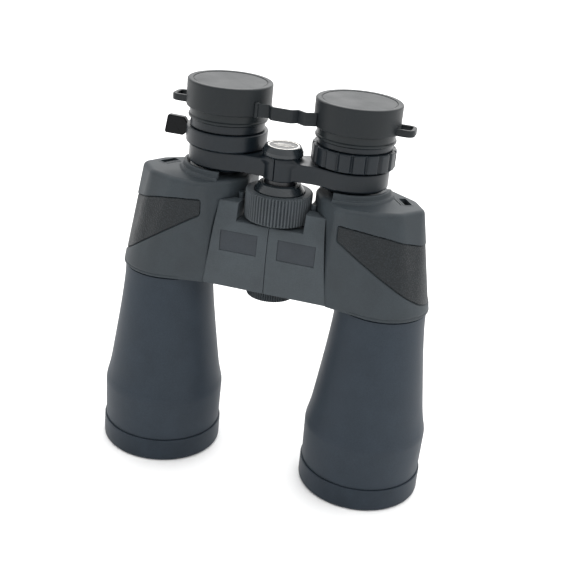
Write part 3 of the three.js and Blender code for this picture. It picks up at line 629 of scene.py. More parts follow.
def body_rings(inset, bottom, top, edge, lip, step, dent=None):
    """Rings up the outside of the housing's form, from its bottom rim over the rounded top edge."""
    turn = np.linspace(0, math.pi / 2, 7)
    levels = [(bottom + lip * (1 - math.sin(t)), lip * (1 - math.cos(t))) for t in turn[::-2]]
    heights = np.arange(bottom + lip + step, top - edge, step)
    levels += [(z, 0.0) for z in heights]
    levels += [(top - edge * (1 - math.sin(t)), edge * (1 - math.cos(t))) for t in turn]
    rings = []
    for height, draw_in in levels:
        outline = body_outline(height, inset + draw_in)
        if dent is not None:
            outline = offset(outline, dent(outline[:, 0], outline[:, 1], height)[:, None])
        rings.append(level(outline, height))
    return rings


# ---- grip panel

GRIP = {"inner": 37.3, "back": 14.0, "sunk": 0.35, "skin": 1.2}


def grip_low(x):
    run = x - GRIP["inner"]
    return 151.1 - 0.575 * run - 0.0024 * run**2


def grip_high(x):
    run = x - GRIP["inner"]
    return 159.4 - 0.0049 * run**2


def outside_grip(x, y, z):
    """How far a point on the armour lies outside the grip panel's edge, in millimetres."""
    low = (grip_low(x) - z) * 0.83
    high = (z - grip_high(x)) * 0.97
    sides = [low, high, GRIP["inner"] - x, y - GRIP["back"]]
    outward = np.sqrt(sum(np.maximum(s + 1.2, 0) ** 2 for s in sides)) - 1.2
    return np.where(np.max(sides, axis=0) > -1.2, outward, np.max(sides, axis=0))


def grip_inlay():
    """The textured panel: a thin skin that follows the housing from its front round the outer side."""
    columns, rows = 150, 46
    border = np.array([0, 0.12, 0.3, 0.6])
    u = np.concatenate([border / 70, np.linspace(1 / 70, 1 - 1 / 70, columns), 1 - border[::-1] / 70])
    v = np.concatenate([border / 25, np.linspace(1 / 25, 1 - 1 / 25, rows), 1 - border[::-1] / 25])

    def place(share, height, inset):
        line, along = body_curve(height, inset)
        quarter, half = len(line) // 4, len(line) // 2
        back = np.interp(GRIP["back"], line[:quarter, 1], along[:quarter])
        start = np.interp(GRIP["inner"], line[half:, 0], along[half:])
        total = along[-1]
        s = (start + share * (total - start + back)) % total
        return on_curve(line, along, np.array([s]))[0]

    def surface(inset, rounded):
        grid = np.empty((len(u), len(v), 3))
        for i, a in enumerate(u):
            spot = place(a, 140, inset)
            ends = []
            for limit in (grip_low, grip_high):
                x = spot[0]
                for _ in range(4):
                    x = place(a, float(limit(x)), inset)[0]
                ends.append(float(limit(x)))
            for j, b in enumerate(v):
                height = ends[0] + b * (ends[1] - ends[0])
                rim = min(a * 70, (1 - a) * 70, b * (ends[1] - ends[0]), (1 - b) * (ends[1] - ends[0]))
                sink = 0.4 * max(0.0, 1 - rim / 0.6) ** 2 if rounded else 0.0
                grid[i, j, :2] = place(a, height, inset + sink)
                grid[i, j, 2] = height
        return grid

    outer = surface(GRIP["sunk"], True)
    inner = surface(GRIP["sunk"] + GRIP["skin"], False)
    return slab_between("grip", outer, inner)


def slab_between(name, outer, inner, kept=None):
    """A solid from two matching grids of points, without the cells that aren't kept."""
    m, n = outer.shape[:2]
    kept = np.ones((m - 1, n - 1), bool) if kept is None else kept
    vertices = np.vstack([outer.reshape(-1, 3), inner.reshape(-1, 3)])
    faces, border = [], {}
    for i, j in np.argwhere(kept):
        a = i * n + j
        quad = (a, a + 1, a + n + 1, a + n)
        faces.append(quad)
        faces.append(tuple(k + m * n for k in quad[::-1]))
        for p, q in zip(quad, quad[1:] + quad[:1]):
            if (q, p) in border:
                del border[(q, p)]
            else:
                border[(p, q)] = True
    faces += [(q, p, p + m * n, q + m * n) for p, q in border]
    used = sorted({k for f in faces for k in f})
    renumber = {k: i for i, k in enumerate(used)}
    return new_object(name, vertices[used], [tuple(renumber[k] for k in f) for f in faces])


# ---- label plate and badge

PLATE = {
    "seam": 0.15,
    "notch": 18.3,
    "notch_floor": 149.9,
    "top": top_of("right_label_plate"),
    "thickness": 2.0,
    "ear_back": -8.3,
    "edge": 0.7,
    "ledge": 1.7,
}
BADGE = {"left": 5.7, "right": 26.2, "bottom": 132.8, "top": 144.0, "recess": 0.6, "sunk": 0.3}


def plate_face(z):
    """Where the plate's front surface is in Y at a height."""
    return np.interp(z, *np.array(through([
        (110, -19.7), (122, -20.1), (132, -20.1), (146, -19.3), (154, -17.6), (160, -16),
    ])).T)


def plate_end(z):
    """The plate's outer edge in X: a gentle curve, widest at the bottom."""
    share = (z - HOUSING_BOTTOM) / (PLATE["top"] - HOUSING_BOTTOM)
    return 34.6 - 6.6 * share + 1.0 * share**2


def round_edge(distance, edge):
    """How far a rounded rim of that radius falls away at a distance from its edge."""
    reach = np.clip(edge - distance, 0, edge)
    return edge - np.sqrt(edge**2 - reach**2)


def spaced(start, end, step, ends=(0, 0.1, 0.25, 0.5, 0.8)):
    """Places from start to end, close together near both ends."""
    middle = np.linspace(start + 1.2, end - 1.2, max(2, int((end - start) / step)))
    return np.concatenate([start + np.array(ends), middle, end - np.array(ends[::-1])])


def label_plate():
    edge = PLATE["edge"]
    seam, notch, floor, top = PLATE["seam"], PLATE["notch"], PLATE["notch_floor"], PLATE["top"]
    fixed = np.concatenate([
        spaced(seam, BADGE["left"], 1.5),
        spaced(BADGE["left"], notch, 1.5)[1:],
        spaced(notch, BADGE["right"], 1.5)[1:],
    ])
    share = spaced(0, 6, 1.2)[1:] / 6
    rows = np.concatenate([
        spaced(HOUSING_BOTTOM, BADGE["bottom"], 1.5),
        spaced(BADGE["bottom"], BADGE["top"], 1.5)[1:],
        spaced(BADGE["top"], floor - PLATE["ledge"], 1.5)[1:],
        floor - PLATE["ledge"] + np.array([0.02, 0.8]),
        floor - np.array([0.8, 0.5, 0.25, 0.1, 0]),
        spaced(floor, top, 1.5)[1:],
    ])
    x = np.array([np.concatenate([fixed, fixed[-1] + share * (plate_end(z) - fixed[-1])]) for z in rows])
    z = np.repeat(rows[:, None], x.shape[1], axis=1)
    rims = [
        (np.where(z <= floor, x - seam, np.inf), 0.15),
        (plate_end(z) - x, 0.15),
        (z - HOUSING_BOTTOM, edge),
        (top - z, edge),
        (np.where(x < notch, floor - z, np.inf), edge),
        (np.where(z > floor, x - notch, np.inf), edge),
        (np.where((x >= notch) & (z <= floor), np.hypot(x - notch, floor - z), np.inf), edge),
    ]
    fall = np.max([round_edge(np.clip(rim, 0, None), r) for rim, r in rims], axis=0)
    to_badge = np.max([BADGE["left"] - x, x - BADGE["right"], BADGE["bottom"] - z, z - BADGE["top"]], axis=0)
    dish = BADGE["recess"] * (to_badge < 0.05)
    front = plate_face(z) + fall + dish
    ledge = -11.2 + 6.4 * np.clip((x - 6) / 6, 0, 1)
    back = plate_face(z) + PLATE["thickness"]
    back = np.where((z > floor - PLATE["ledge"]) & (x < notch + 1), ledge, back)
    back = np.where(z > floor + 0.05, PLATE["ear_back"], back)
    kept = np.ones((len(rows) - 1, x.shape[1] - 1), bool)
    above = (rows[:-1] + rows[1:]) / 2 > floor
    beside = (x[0, :-1] + x[0, 1:]) / 2 < notch
    kept[np.ix_(above, beside)] = False
    outer, inner = (np.stack([x, y, z], axis=-1) for y in (front, back))
    return slab_between("plate", outer, inner, kept)


def label_badge():
    inset = 0.03
    x_axis = spaced(BADGE["left"] + inset, BADGE["right"] - inset, 1.5)
    z_axis = spaced(BADGE["bottom"] + inset, BADGE["top"] - inset, 1.0)
    z, x = np.meshgrid(z_axis, x_axis, indexing="ij")
    rims = [x - x_axis[0], x_axis[-1] - x, z - z_axis[0], z_axis[-1] - z]
    front = plate_face(z) + BADGE["sunk"] + round_edge(np.min(rims, axis=0), 0.12)
    back = plate_face(z) + BADGE["recess"] - 0.02
    outer, inner = (np.stack([x, y, z], axis=-1) for y in (front, back))
    return slab_between("badge", outer, inner)


# ---- armour and housing

SLOT = {
    "centre": (65.8, 3.6),
    "half": (5.15, 1.95),
    "turn": math.radians(120.8),
    "floor": 159.5,
    "sill": 164.2,
    "lip": 0.8,
}
CRESCENT = {
    "bore": 20.4,
    "high": 22.3,
    "low": 23.7,
    "high_rise": 4.1,
    "low_rise": 1.5,
    "inner": 31.3,
    "back": 8.0,
}
GUIDE_HOLE = 11.9
FLANK = {"inner": 18.6, "top": 162.4}  # the armour stands close to the wheel behind the plate's ears
WINDOW_GAP = 0.03


BEAD = {"rise": 1.5, "half": 0.4, "depth": 0.4}  # the groove above the armour's bottom rim


def slot_box(low, high, edge=0.5):
    return box(low, high, edge, SLOT["turn"], SLOT["centre"])


def strap_slot():
    """The slot goes down through the top near the outer end and comes out at the back."""
    along, across = SLOT["half"]
    shaft = slot_box((-along, -across, SLOT["floor"]), (along, across, HOUSING_TOP + 2))
    way_out = slot_box((-along, -16, SLOT["floor"] + 0.01), (along, across - 0.01, SLOT["sill"]))
    return joined(shaft, way_out)


def armour_dent(x, y, z):
    """Depth of the moulded relief on the armour's outside."""
    outside = outside_grip(x, y, z)
    share = np.clip(outside / 0.6, 0, 1)
    pocket = (GRIP["sunk"] + 0.95) * (1 - share * share * (3 - 2 * share))
    to_plate = np.clip((x - plate_end(z) - WINDOW_GAP) / 1.3, 0, 1)
    beside_plate = (y < PLATE["ear_back"]) & (z < PLATE["top"] + 0.5)
    roll = np.where(beside_plate, 0.35 * (1 - to_plate) ** 2, 0)
    outer_half = np.clip((x - 42) / 8, 0, 1)
    away = (z - HOUSING_BOTTOM - BEAD["rise"]) / BEAD["half"]
    groove = BEAD["depth"] * math.exp(-(away**2)) * outer_half
    return np.maximum(pocket, roll) + groove


def crescents():
    """Two stepped ridges on the top, round the front of the eyepiece."""
    c = CRESCENT
    root = HOUSING_TOP - 1.5
    high, low = HOUSING_TOP + c["high_rise"], HOUSING_TOP + c["low_rise"]
    ridge = lathe("crescents", [
        (c["bore"], root),
        (c["low"] + 1.4, root),
        (c["low"] + 0.8, HOUSING_TOP - 0.1, 0.7),
        (c["low"], low, 0.6),
        (c["high"] + 0.3, low - 0.2, 0.5),
        (c["high"], high, 0.6),
        (c["bore"], high, 0.4),
    ], EYEPIECE, 200)
    keep = box((c["inner"], -60, root - 1), (90, c["back"], high + 1), 0.01)
    return combined(ridge, keep, "INTERSECT")


def armour():
    outer = body_rings(0, HOUSING_BOTTOM, HOUSING_TOP, 2.2, 0.6, 0.5, armour_dent)
    rim = outer[-1][:, :2]
    top = []
    for share in (0.03, 0.12, 0.3, 0.5, 0.7, 0.88):
        hole = ring_about(EYEPIECE, GUIDE_HOLE, HOUSING_TOP, rim)[:, :2]
        top.append(level(rim * (1 - share) + hole * share, HOUSING_TOP))
    hole = ring_about(EYEPIECE, GUIDE_HOLE, HOUSING_TOP, rim)
    under = ring_about(EYEPIECE, GUIDE_HOLE, HOUSING_TOP - ARMOUR_WALL, rim)
    inner = [
        level(body_outline(z, ARMOUR_WALL + (1.6 if z > HOUSING_TOP - 4 else 0)), z)
        for z in (HOUSING_TOP - ARMOUR_WALL, HOUSING_TOP - 6, 140, HOUSING_BOTTOM)
    ]
    shell = skin("armour", [*outer, *top, hole, under, *inner])
    along, across = SLOT["half"]
    wide, deep = along + SLOT["lip"], across + SLOT["lip"]
    collar = slot_box((-wide, -deep, HOUSING_TOP - 1), (wide, deep, HOUSING_TOP + 0.12), 1.0)
    low = (FLANK["inner"], -8.0, PLATE["notch_floor"] + GAP)
    flank = box(low, (21.6, 3.0, FLANK["top"]), 1.2)
    joined(shell, crescents(), collar, flank)
    heights = np.linspace(HOUSING_BOTTOM - 2, PLATE["top"] + WINDOW_GAP, 24)
    window = [(-1, PLATE["top"] + WINDOW_GAP), (-1, HOUSING_BOTTOM - 2)]
    window += [(plate_end(z) + WINDOW_GAP, z) for z in heights]
    slit = slot_box((-along, across + 2.0, HOUSING_TOP - 0.5), (along, across + 2.5, HOUSING_TOP + 2), 0.1)
    return cut(
        shell,
        prism(window, -60, PLATE["ear_back"] + GAP),
        box((-1, -60, HOUSING_BOTTOM - 2), (28, HINGE[1] + 7, PLATE["notch_floor"]), 0.01),
        strap_slot(),
        slit,
    )


# ---- bridge


ARM = {"bottom": 174.0, "top": 183.5, "half_width": 6.9, "taper": 0.23}
RING = {"radius": radius_of("zoom_ring") - 2.1, "bottom": 172.9, "seat": 17.0}
HUB = {"radius": 9.7, "bottom": 173.5, "middle": 179.5, "top": 185.7, "wall": 1.7, "bore": 6.3}


def soft_union(a, b, blend):
    share = np.clip(0.5 + 0.5 * (b - a) / blend, 0, 1)
    return b * (1 - share) + a * share - blend * share * (1 - share)


def slab_of(plan, z, low, high, edge):
    """A plan shape given height, its rims rounded by edge."""
    across = plan + edge
    upright_part = np.abs(z - (low + high) / 2) - (high - low) / 2 + edge
    outside = np.hypot(np.maximum(across, 0), np.maximum(upright_part, 0))
    return outside + np.minimum(np.maximum(across, upright_part), 0) - edge


def wedge(x, y, start, end):
    """Distance outside the angle from start to end, in degrees, round the hinge axis."""
    dx, dy = x - HINGE[0], y - HINGE[1]
    a, b = math.radians(start), math.radians(end)
    before = -(math.cos(a) * dy - math.sin(a) * dx)
    after = math.cos(b) * dy - math.sin(b) * dx
    return np.maximum(before, after)


def arm_form(side):
    sign = SIGN[side]
    start, end = (-98, 66) if sign > 0 else (114, 259)
    own, other = ("upper", "lower") if sign > 0 else ("lower", "upper")
    spans = {
        "lower": (HUB["bottom"], HUB["middle"] - GAP / 2),
        "upper": (HUB["middle"] + GAP / 2, HUB["top"]),
    }
    centre = np.array([sign * EYEPIECE[0], EYEPIECE[1]])
    run = centre - HINGE
    length = np.linalg.norm(run)
    run = run / length

    def distance(x, y, z):
        dx, dy = x - HINGE[0], y - HINGE[1]
        from_hinge = np.hypot(dx, dy)
        from_eye = np.hypot(x - centre[0], y - centre[1])
        along = dx * run[0] + dy * run[1]
        beside = np.abs(-dx * run[1] + dy * run[0])
        half_width = ARM["half_width"] + ARM["taper"] * np.clip(along, 0, length)
        web = np.maximum(beside - half_width, np.maximum(-along, along - length))
        ring = from_eye - RING["radius"]
        plan = soft_union(ring, web, 5.0)
        arm = slab_of(plan, z, ARM["bottom"], ARM["top"], 0.5)
        ring_part = slab_of(ring, z, RING["bottom"], ARM["top"], 0.5)
        lower_rim = (ring + np.maximum(RING["bottom"] + 1.5 - z, 0)) * 0.72
        ring_part = np.maximum(ring_part, lower_rim)
        hub = slab_of(from_hinge - HUB["radius"], z, HUB["bottom"], HUB["top"], 0.4)
        rise = np.clip((z - ARM["top"] + 2.5) / 2.5, 0, 1)
        body = soft_union(arm, hub, 0.8 + 3.8 * rise)
        body = np.maximum(body, wedge(x, y, start, end))
        body = soft_union(body, ring_part, 0.3)
        inner = HUB["radius"] - HUB["wall"]
        low, high = spans[other]
        room = np.maximum(from_hinge - inner - GAP, np.maximum(low - GAP - z, z - high - GAP))
        body = np.maximum(body, -room)
        low, high = spans[own]
        knuckle = np.maximum(from_hinge - inner, np.maximum(low - z, z - high))
        body = np.minimum(body, knuckle)
        body = np.maximum(body, HUB["bore"] - from_hinge)
        return np.maximum(body, RING["seat"] - from_eye)

    margin = RING["radius"] + 1
    far, near = sign * (EYEPIECE[0] + margin), -sign * (HUB["radius"] + 1)
    low = (min(far, near), HINGE[1] - HUB["radius"] - 1.5, RING["bottom"] - 1)
    high = (max(far, near), EYEPIECE[1] + margin, HUB["top"] + 1)
    return carved(f"{side}_bridge_arm_piece", low, high, 0.4, distance)


# ---- ribs and knurls


def ridged(count, depth, inner, share=0.5):
    """Rounded ridges with narrow valleys: share is how much of the pitch a ridge takes."""
    def swell(radius, height, angles):
        if radius < inner:
            return np.full(len(angles), radius)
        phase = np.abs(((angles * count / (2 * math.pi)) % 1) - 0.5) * 2
        valley = np.clip((phase - share) / (1 - share), 0, 1)
        valley = valley * valley * (3 - 2 * valley)
        return radius - depth * valley * min(1.0, (radius - inner) / 0.5)
    return swell


# ---- building every piece


def build_housings():
    shells = [
        ("armour", armour(), "armour_rubber"),
        ("grip_inlay", grip_inlay(), "grip_rubber"),
        ("label_plate", label_plate(), "plate_rubber"),
        ("label_badge", label_badge(), "badge_film"),
    ]
    for piece, shape, finish in shells:
        for side in SIDES:
            name = f"{side}_{piece}_piece"
            obj = mirrored(shape, name) if side == "left" else shape
            obj.name = name
            add(obj, f"{side}_half", finish, f"{side}_{piece}", even=piece != "armour")


def build_objectives():
    cap_top = top_of("right_objective_cap")
    cap_radius = radius_of("right_objective_cap")
    front = bottom_of("right_barrel")
    seat = cap_radius - 1.5
    cone = through([
        (33.6, 40.2), (32.9, 43), (31.5, 50), (29.4, 65), (27.8, 77), (26.2, 90), (24.95, 103),
        (24.65, 110.9),
    ])
    barrel = [
        (30.9, front, 0.2), (seat, front, 0.4), (seat, cap_top + GAP, 0.1), (33.55, cap_top + GAP, 0.25),
        (34.08, 37.6, 16.0), *cone, (23.9, 111.0), (23.9, HOUSING_BOTTOM - GAP),
        (21.7, HOUSING_BOTTOM - GAP), (21.7, HOUSING_BOTTOM + 6, 0.3), (19.7, HOUSING_BOTTOM + 6, 0.3),
        (19.7, 110), (24, 90), (29, 50), (29, 22.3), (30.9, 22.3),
    ]
    cap = [
        (0, 0.5), (26.5, 0.5, 0.3), (27.2, 0, 0.3), (cap_radius, 0, 1.9), (cap_radius, cap_top, 0.45),
        (cap_radius - 1.2, cap_top, 0.3), (cap_radius - 1.2, 2, 0.6), (0, 2),
    ]
    for side in SIDES:
        axis = (SIGN[side] * OBJECTIVE[0], OBJECTIVE[1])
        half = f"{side}_half"
        pieces = [
            ("barrel", barrel, True, half, "barrel_paint"),
            ("objective_cap", cap, False, f"{side}_cap", "cap_plastic"),
        ]
        for piece, profile, closed, body, finish in pieces:
            obj = lathe(f"{side}_{piece}_piece", profile, axis, 192, closed=closed)
            add(obj, body, finish, f"{side}_{piece}")


def build_eyepieces():
    neck_top = bottom_of("left_eyecup") - GAP
    cup_foot = bottom_of("left_eyecup")
    cup_top = top_of("left_eyecup")
    guard_low = bottom_of("left_guard_cup")
    for side in SIDES:
        axis = (SIGN[side] * EYEPIECE[0], EYEPIECE[1])
        carrier = "left_bridge" if side == "left" else "right_eyepiece"
        neck = (top_of("zoom_ring") if side == "left" else top_of("dioptre_ring")) + GAP
        tube = [
            (8.9, 160), (10.4, 160, 0.2), (10.4, 172.9, 0.2), (16.7, 172.9, 0.3), (16.7, neck, 0.1),
            (20, neck, 0.35), (20, neck_top, 0.3), (10.4, neck_top, 0.2), (10.4, 190), (8.9, 190),
        ]
        cup = [
            (10.4, cup_foot), (21.3, cup_foot, 0.5), (21.3, cup_foot + 1.2, 0.5),
            (20.6, cup_foot + 1.8, 0.4), (20.5, guard_low, 0.1), (20.5, cup_top, 0.7), (18.2, cup_top, 0.7),
            (18.2, cup_foot + 2.5, 0.5), (10.4, cup_foot + 2.5, 0.3),
        ]
        guide = [(10.7, 158.5, 0.1), (11.6, 158.5, 0.1), (11.6, 169.6, 0.2), (10.7, 169.6, 0.2)]
        pieces = [
            ("ocular_tube", tube, carrier, "eyepiece_black", "satin_black"),
            ("eyecup", cup, carrier, "eyecup_rubber", "eyecup_rubber"),
            ("guide_tube", guide, f"{side}_half", "satin_black", "satin_black"),
        ]
        for piece, profile, body, finish, slot in pieces:
            obj = lathe(f"{side}_{piece}_piece", profile, axis, 144)
            add(obj, body, finish, f"{side}_{piece}", slot=slot)
    build_turning_rings()
    build_guards()


def build_turning_rings():
    bore = 17.1
    axis = (-EYEPIECE[0], EYEPIECE[1])
    radius, low, high = radius_of("zoom_ring"), bottom_of("zoom_ring"), top_of("zoom_ring")
    ring = lathe("zoom_ring_piece", [
        (bore, low, 0.2), (radius, low, 1.3), (radius, high, 0.7), (bore, high, 0.2),
    ], axis, 160)
    add(ring, "zoom_ring", "eyepiece_black", "zoom_ring", slot="satin_black")

    root = axis[0] - radius - 0.1
    tip = extent("zoom_lever")[0][0] - 1.0
    low, high = bottom_of("zoom_lever"), top_of("zoom_lever")
    outline = filleted([
        (root + 0.6, low + 7.2), (root + 0.6, low + 2.4), (root - 1.2, low + 1.4, 0.4),
        (root - 2.8, low, 0.7),
        (tip + 0.6, low, 0.9), (tip, low + 1.0, 0.4), (tip + 1.4, high - 0.6, 1.2), (tip + 2.2, high, 0.6),
        (root - 2.4, high - 0.2, 0.9), (root - 0.9, high - 2.2, 0.5),
    ])[::-1]
    lever = pillow("zoom_lever_piece", outline, axis[1] - 1.8, axis[1] + 1.8, 0.6,
                   lambda u, v, w: np.stack([u, w, v], axis=1))
    add(lever, "zoom_ring", "gloss_black", "zoom_lever")

    radius, low, high = radius_of("dioptre_ring"), bottom_of("dioptre_ring"), top_of("dioptre_ring")
    ring = lathe("dioptre_ring_piece", [
        (bore, low, 0.2), (20.6, low, 0.2), (radius, low + 0.5, 0.5), (radius, high, 0.9), (bore, high, 0.2),
    ], EYEPIECE, 18 * 28, ridged(18, 1.15, 20.7, 0.62))
    add(ring, "dioptre_ring", "eyepiece_black", "dioptre_ring", slot="satin_black")


GUARD = {
    "radius": radius_of("left_ocular_tube") + 2.7,
    "wall": 1.7,
    "bottom": bottom_of("left_guard_cup"),
    "top": top_of("left_guard_cup"),
}
STRAP = {"low": 203.8, "height": 7.0, "thickness": 1.5, "y": -5.6, "folded": 0.947}


def guard_cup(side):
    """A push-on cup with its strap loop, and on the left the post that the strap is moulded to."""
    sign = SIGN[side]
    axis = np.array([sign * EYEPIECE[0], EYEPIECE[1]])
    radius, low, high = GUARD["radius"], GUARD["bottom"], GUARD["top"]
    bore = radius - GUARD["wall"]
    cup = lathe("cup", [
        (0, high - 0.3), (19.2, high - 0.3, 0.1), (19.35, high - 0.55, 0.08), (19.6, high - 0.55, 0.08),
        (19.8, high - 0.1, 0.15), (20.8, high, 0.3), (radius, high, 1.4), (radius, low, 0.9),
        (bore, low, 0.4), (bore, high - 2, 0.6), (0, high - 2),
    ], axis, 176, closed=False)
    start, end = radius - 0.9, radius + 8.1
    half = 6.5 - 1.1
    path = filleted([
        (start - 1.5, -half), (end - 1.1, -half, 3.0), (end - 1.1, half, 3.0), (start - 1.5, half),
    ], closed=False, steps=10)
    root, tail = np.linspace(path[0], path[1], 4), np.linspace(path[-2], path[-1], 4)
    path = np.vstack([root[:-1], path[1:-1], tail[1:]])
    path[:, 0] *= sign
    loop = sweep("loop", path + axis, 205.65, 2.2, 3.7, 0.6)
    joined(cup, loop)
    if side == "left":
        post = lathe("post", [(0, 203.3), (1.25, 203.3, 0.5), (1.25, 211.4, 0.5), (0, 211.4)],
                     (-15.9, -6.1), 32, closed=False)
        joined(cup, post)
    cup.name = f"{side}_guard_cup_piece"
    return cup


def build_guards():
    for side in SIDES:
        add(guard_cup(side), f"{side}_guard", "guard_rubber", f"{side}_guard_cup")
    y = STRAP["y"]
    path = filleted([
        (-15.6, y), (-8.9, y + 0.7, 0.9), (-6.8, y - 2.4, 0.9), (3.6, y - 2.6, 1.3), (6.3, y + 0.2, 0.6),
        (11.0, y - 3.0, 1.2), (16.1, y - 0.3),
    ], closed=False, steps=6)
    middle = STRAP["low"] + STRAP["height"] / 2
    strap = sweep("guard_strap_piece", path, middle, STRAP["thickness"], STRAP["height"], 0.45)
    add(strap, "guard_strap", "guard_rubber", "guard_strap")
    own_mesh(strap)


def build_hinge():
    arms = {"left": "left_bridge", "right": "right_bridge"}
    for side, body in arms.items():
        add(arm_form(side), body, "eyepiece_black", f"{side}_bridge_arm", slot="satin_black", even=False)

    radius, low, high = radius_of("focus_wheel"), bottom_of("focus_wheel"), 166.6
    wheel = lathe("focus_wheel_piece", [
        (6.3, low, 0.2), (16, low, 0.3), (radius, low + 0.9, 0.4), (radius, high - 0.5, 0.2),
        (radius - 0.5, high, 0.3), (13.7, high, 0.2), (13.7, high - 1, 0.1), (6.3, high - 1, 0.1),
    ], HINGE, 62 * 10, ridged(62, 0.95, 16.2, 0.25), steps=4)
    add(wheel, "focus_wheel", "wheel_rubber", "focus_wheel")
    collar = lathe("focus_collar_piece", [
        (6.4, high - 0.9, 0.1), (13.4, high - 0.9, 0.1), (13.4, high + 0.5, 0.3), (11.1, 170.7, 0.4),
        (8.7, 171, 0.2), (8.7, 168, 0.2), (6.4, 168, 0.1),
    ], HINGE, 128)
    add(collar, "focus_wheel", "collar_black", "focus_wheel", slot="gloss_black")

    knob_low, knob_high = bottom_of("tripod_knob"), top_of("tripod_knob")
    knob_radius = radius_of("tripod_knob")
    knob = lathe("tripod_knob_piece", [
        (0, knob_low + 0.3), (9.5, knob_low + 0.3, 0.2), (10, knob_low, 0.2), (knob_radius, knob_low, 0.9),
        (knob_radius, knob_high, 0.6), (3.3, knob_high, 0.2), (3.3, knob_low + 1.5), (0, knob_low + 1.5),
    ], HINGE, 64 * 8, ridged(64, 0.45, 11.6, 0.5), closed=False, steps=4)
    add(knob, "tripod_knob", "satin_black", "tripod_knob")

    sleeve = lathe("hub_sleeve_piece", [
        (4.3, 170.2, 0.1), (8.3, 170.2, 0.3), (8.3, 173.2, 0.2), (6, 173.2, 0.1), (6, HUB["top"], 0.2),
        (4.3, HUB["top"], 0.1),
    ], HINGE, 96)
    add(sleeve, "left_bridge", "blackened_metal", "hub_sleeve")
    build_hub_cap()


def build_hub_cap():
    low, high = bottom_of("hub_cap"), top_of("hub_cap")
    radius = radius_of("hub_cap")
    cap = lathe("hub_cap_piece", [
        (0, low), (radius - 0.4, low, 0.2), (radius, low + 0.6, 0.3), (radius, 188.4, 0.5),
        (9.5, high - 0.3, 0.5),
        (8.9, high, 0.2), (8.75, high, 0.1), (8.75, high - 1, 0.1), (0, high - 1),
    ], HINGE, 144, closed=False)
    add(cap, "left_bridge", "collar_black", "hub_cap", slot="satin_black")
    disc = lathe("hub_disc_piece", [
        (0, high - 0.95), (8.6, high - 0.95, 0.1), (8.6, high - 0.35, 0.1), (0, high - 0.35),
    ], HINGE, 96, closed=False)
    add(disc, "left_bridge", "disc_metal", "hub_disc")
    trim = lathe("hub_trim_piece", [
        (7.55, high - 0.4), (8.45, high - 0.4, 0.1), (8.45, high - 0.1, 0.15), (7.55, high - 0.1, 0.15),
    ], HINGE, 128)
    add(trim, "left_bridge", "disc_bright", slot="disc_metal")
    marks = []
    for half, y in ((3.6, 1.9), (5.6, 0.0), (3.6, -1.9)):
        low = (HINGE[0] - half, HINGE[1] + y - 0.32, high - 0.4)
        marks.append(box(low, (HINGE[0] + half, HINGE[1] + y + 0.32, high - 0.2), 0.3))
    emblem = joined(marks[0], *marks[1:])
    emblem.name = "hub_emblem_piece"
    add(emblem, "left_bridge", "disc_bright", slot="disc_metal")


INNER_FINISHES = {
    "housing": "housing_cast",
    "upper_prism": "prism_glass",
    "lower_prism": "prism_glass",
    "prism_shelf": "satin_black",
    "objective_lens": "coated_glass",
    "retaining_ring": "blackened_metal",
    "eye_lens": "coated_glass",
    "zoom_lens": "coated_glass",
    "zoom_cell": "blackened_metal",
    "hinge_axle": "brass",
    "tripod_bush": "brass",
    "focus_screw": "steel",
    "tripod_stud": "steel",
}


def finish_inner_nodes():
    """The hidden pieces keep their CAD shape and get a real finish."""
    for node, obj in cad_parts.items():
        kind = node.removeprefix("left_").removeprefix("right_")
        if kind in INNER_FINISHES:
            obj.data.materials.clear()
            obj.data.materials.append(MATERIALS[INNER_FINISHES[kind]])


# ---- studio

SKY = {"towards": (0.1, 0.5, 0.85), "dim": 0.12, "bright": 2.35}
LAMP = {"place": (-0.1, 1.1, 0.95), "target": (0, 0, 0.17), "size": (0.9, 0.4), "power": 3.5}
CAMERA = {
    "place": (133.17, -503.64, 337.60),
    "azimuth": 13.898,
    "elevation": 23.786,
    "roll": 5.727,
    "lens": 63.83,
}


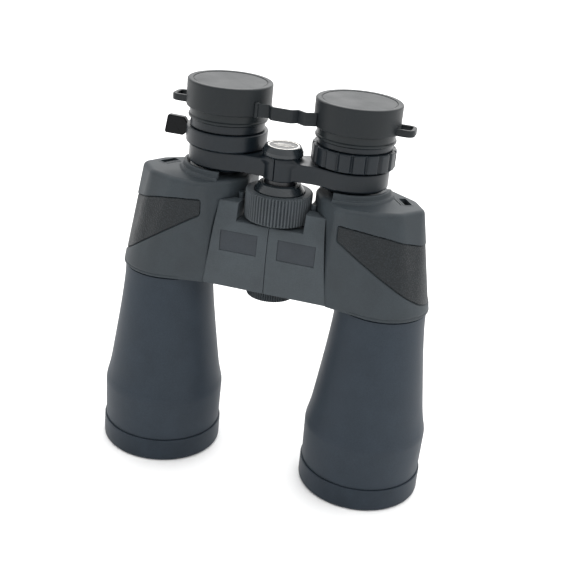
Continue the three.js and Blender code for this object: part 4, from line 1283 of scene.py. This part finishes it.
def add_camera():
    azimuth, elevation, roll = (math.radians(CAMERA[k]) for k in ("azimuth", "elevation", "roll"))
    back = Vector((
        math.sin(azimuth) * math.cos(elevation),
        -math.cos(azimuth) * math.cos(elevation),
        math.sin(elevation),
    ))
    level_right = Vector((math.cos(azimuth), math.sin(azimuth), 0))
    level_up = back.cross(level_right)
    right = math.cos(roll) * level_right + math.sin(roll) * level_up
    up = back.cross(right)
    data = bpy.data.cameras.new("camera")
    data.lens = CAMERA["lens"]
    data.sensor_width = 36
    data.clip_start = 0.01
    camera = bpy.data.objects.new("camera", data)
    bpy.context.scene.collection.objects.link(camera)
    turn = Matrix((right, up, back)).transposed().to_4x4()
    camera.matrix_world = Matrix.Translation(Vector(CAMERA["place"]) * MM) @ turn
    bpy.context.scene.camera = camera


def add_studio():
    world = bpy.data.worlds.new("studio")
    world.use_nodes = True
    tree = world.node_tree
    direction = tree.nodes.new("ShaderNodeTexCoord")
    facing = tree.nodes.new("ShaderNodeVectorMath")
    facing.operation = "DOT_PRODUCT"
    facing.inputs[1].default_value = Vector(SKY["towards"]).normalized()
    glow = tree.nodes.new("ShaderNodeMapRange")
    glow.inputs["From Min"].default_value = -0.7
    glow.inputs["To Min"].default_value = SKY["dim"]
    glow.inputs["To Max"].default_value = SKY["bright"]
    tree.links.new(direction.outputs["Generated"], facing.inputs[0])
    tree.links.new(facing.outputs["Value"], glow.inputs["Value"])
    tree.links.new(glow.outputs["Result"], tree.nodes["Background"].inputs["Strength"])
    tree.nodes["Background"].inputs["Color"].default_value = (1, 1, 1, 1)
    bpy.context.scene.world = world
    lamp = bpy.data.lights.new("behind", "AREA")
    lamp.shape = "RECTANGLE"
    lamp.size, lamp.size_y = LAMP["size"]
    lamp.energy = LAMP["power"]
    light = bpy.data.objects.new("behind", lamp)
    bpy.context.scene.collection.objects.link(light)
    light.location = LAMP["place"]
    towards = Vector(LAMP["target"]) - light.location
    light.rotation_euler = towards.to_track_quat("-Z", "Y").to_euler()
    bpy.context.scene.view_settings.view_transform = "Standard"

    mesh = bpy.data.meshes.new("floor")
    edit = bmesh.new()
    bmesh.ops.create_grid(edit, x_segments=8, y_segments=8, size=8.0)
    edit.to_mesh(mesh)
    edit.free()
    floor = bpy.data.objects.new("floor", mesh)
    bpy.context.scene.collection.objects.link(floor)
    paper = Finish("paper", 0.9)
    tone = paper.noise(40, 3)
    paper.colour(paper.ramp(tone, [(0.3, (0.93,) * 3), (0.7, (0.95,) * 3)]))
    mesh.materials.append(paper.material)


build_housings()
build_objectives()
build_eyepieces()
build_hinge()
finish_inner_nodes()
add_camera()
add_studio()
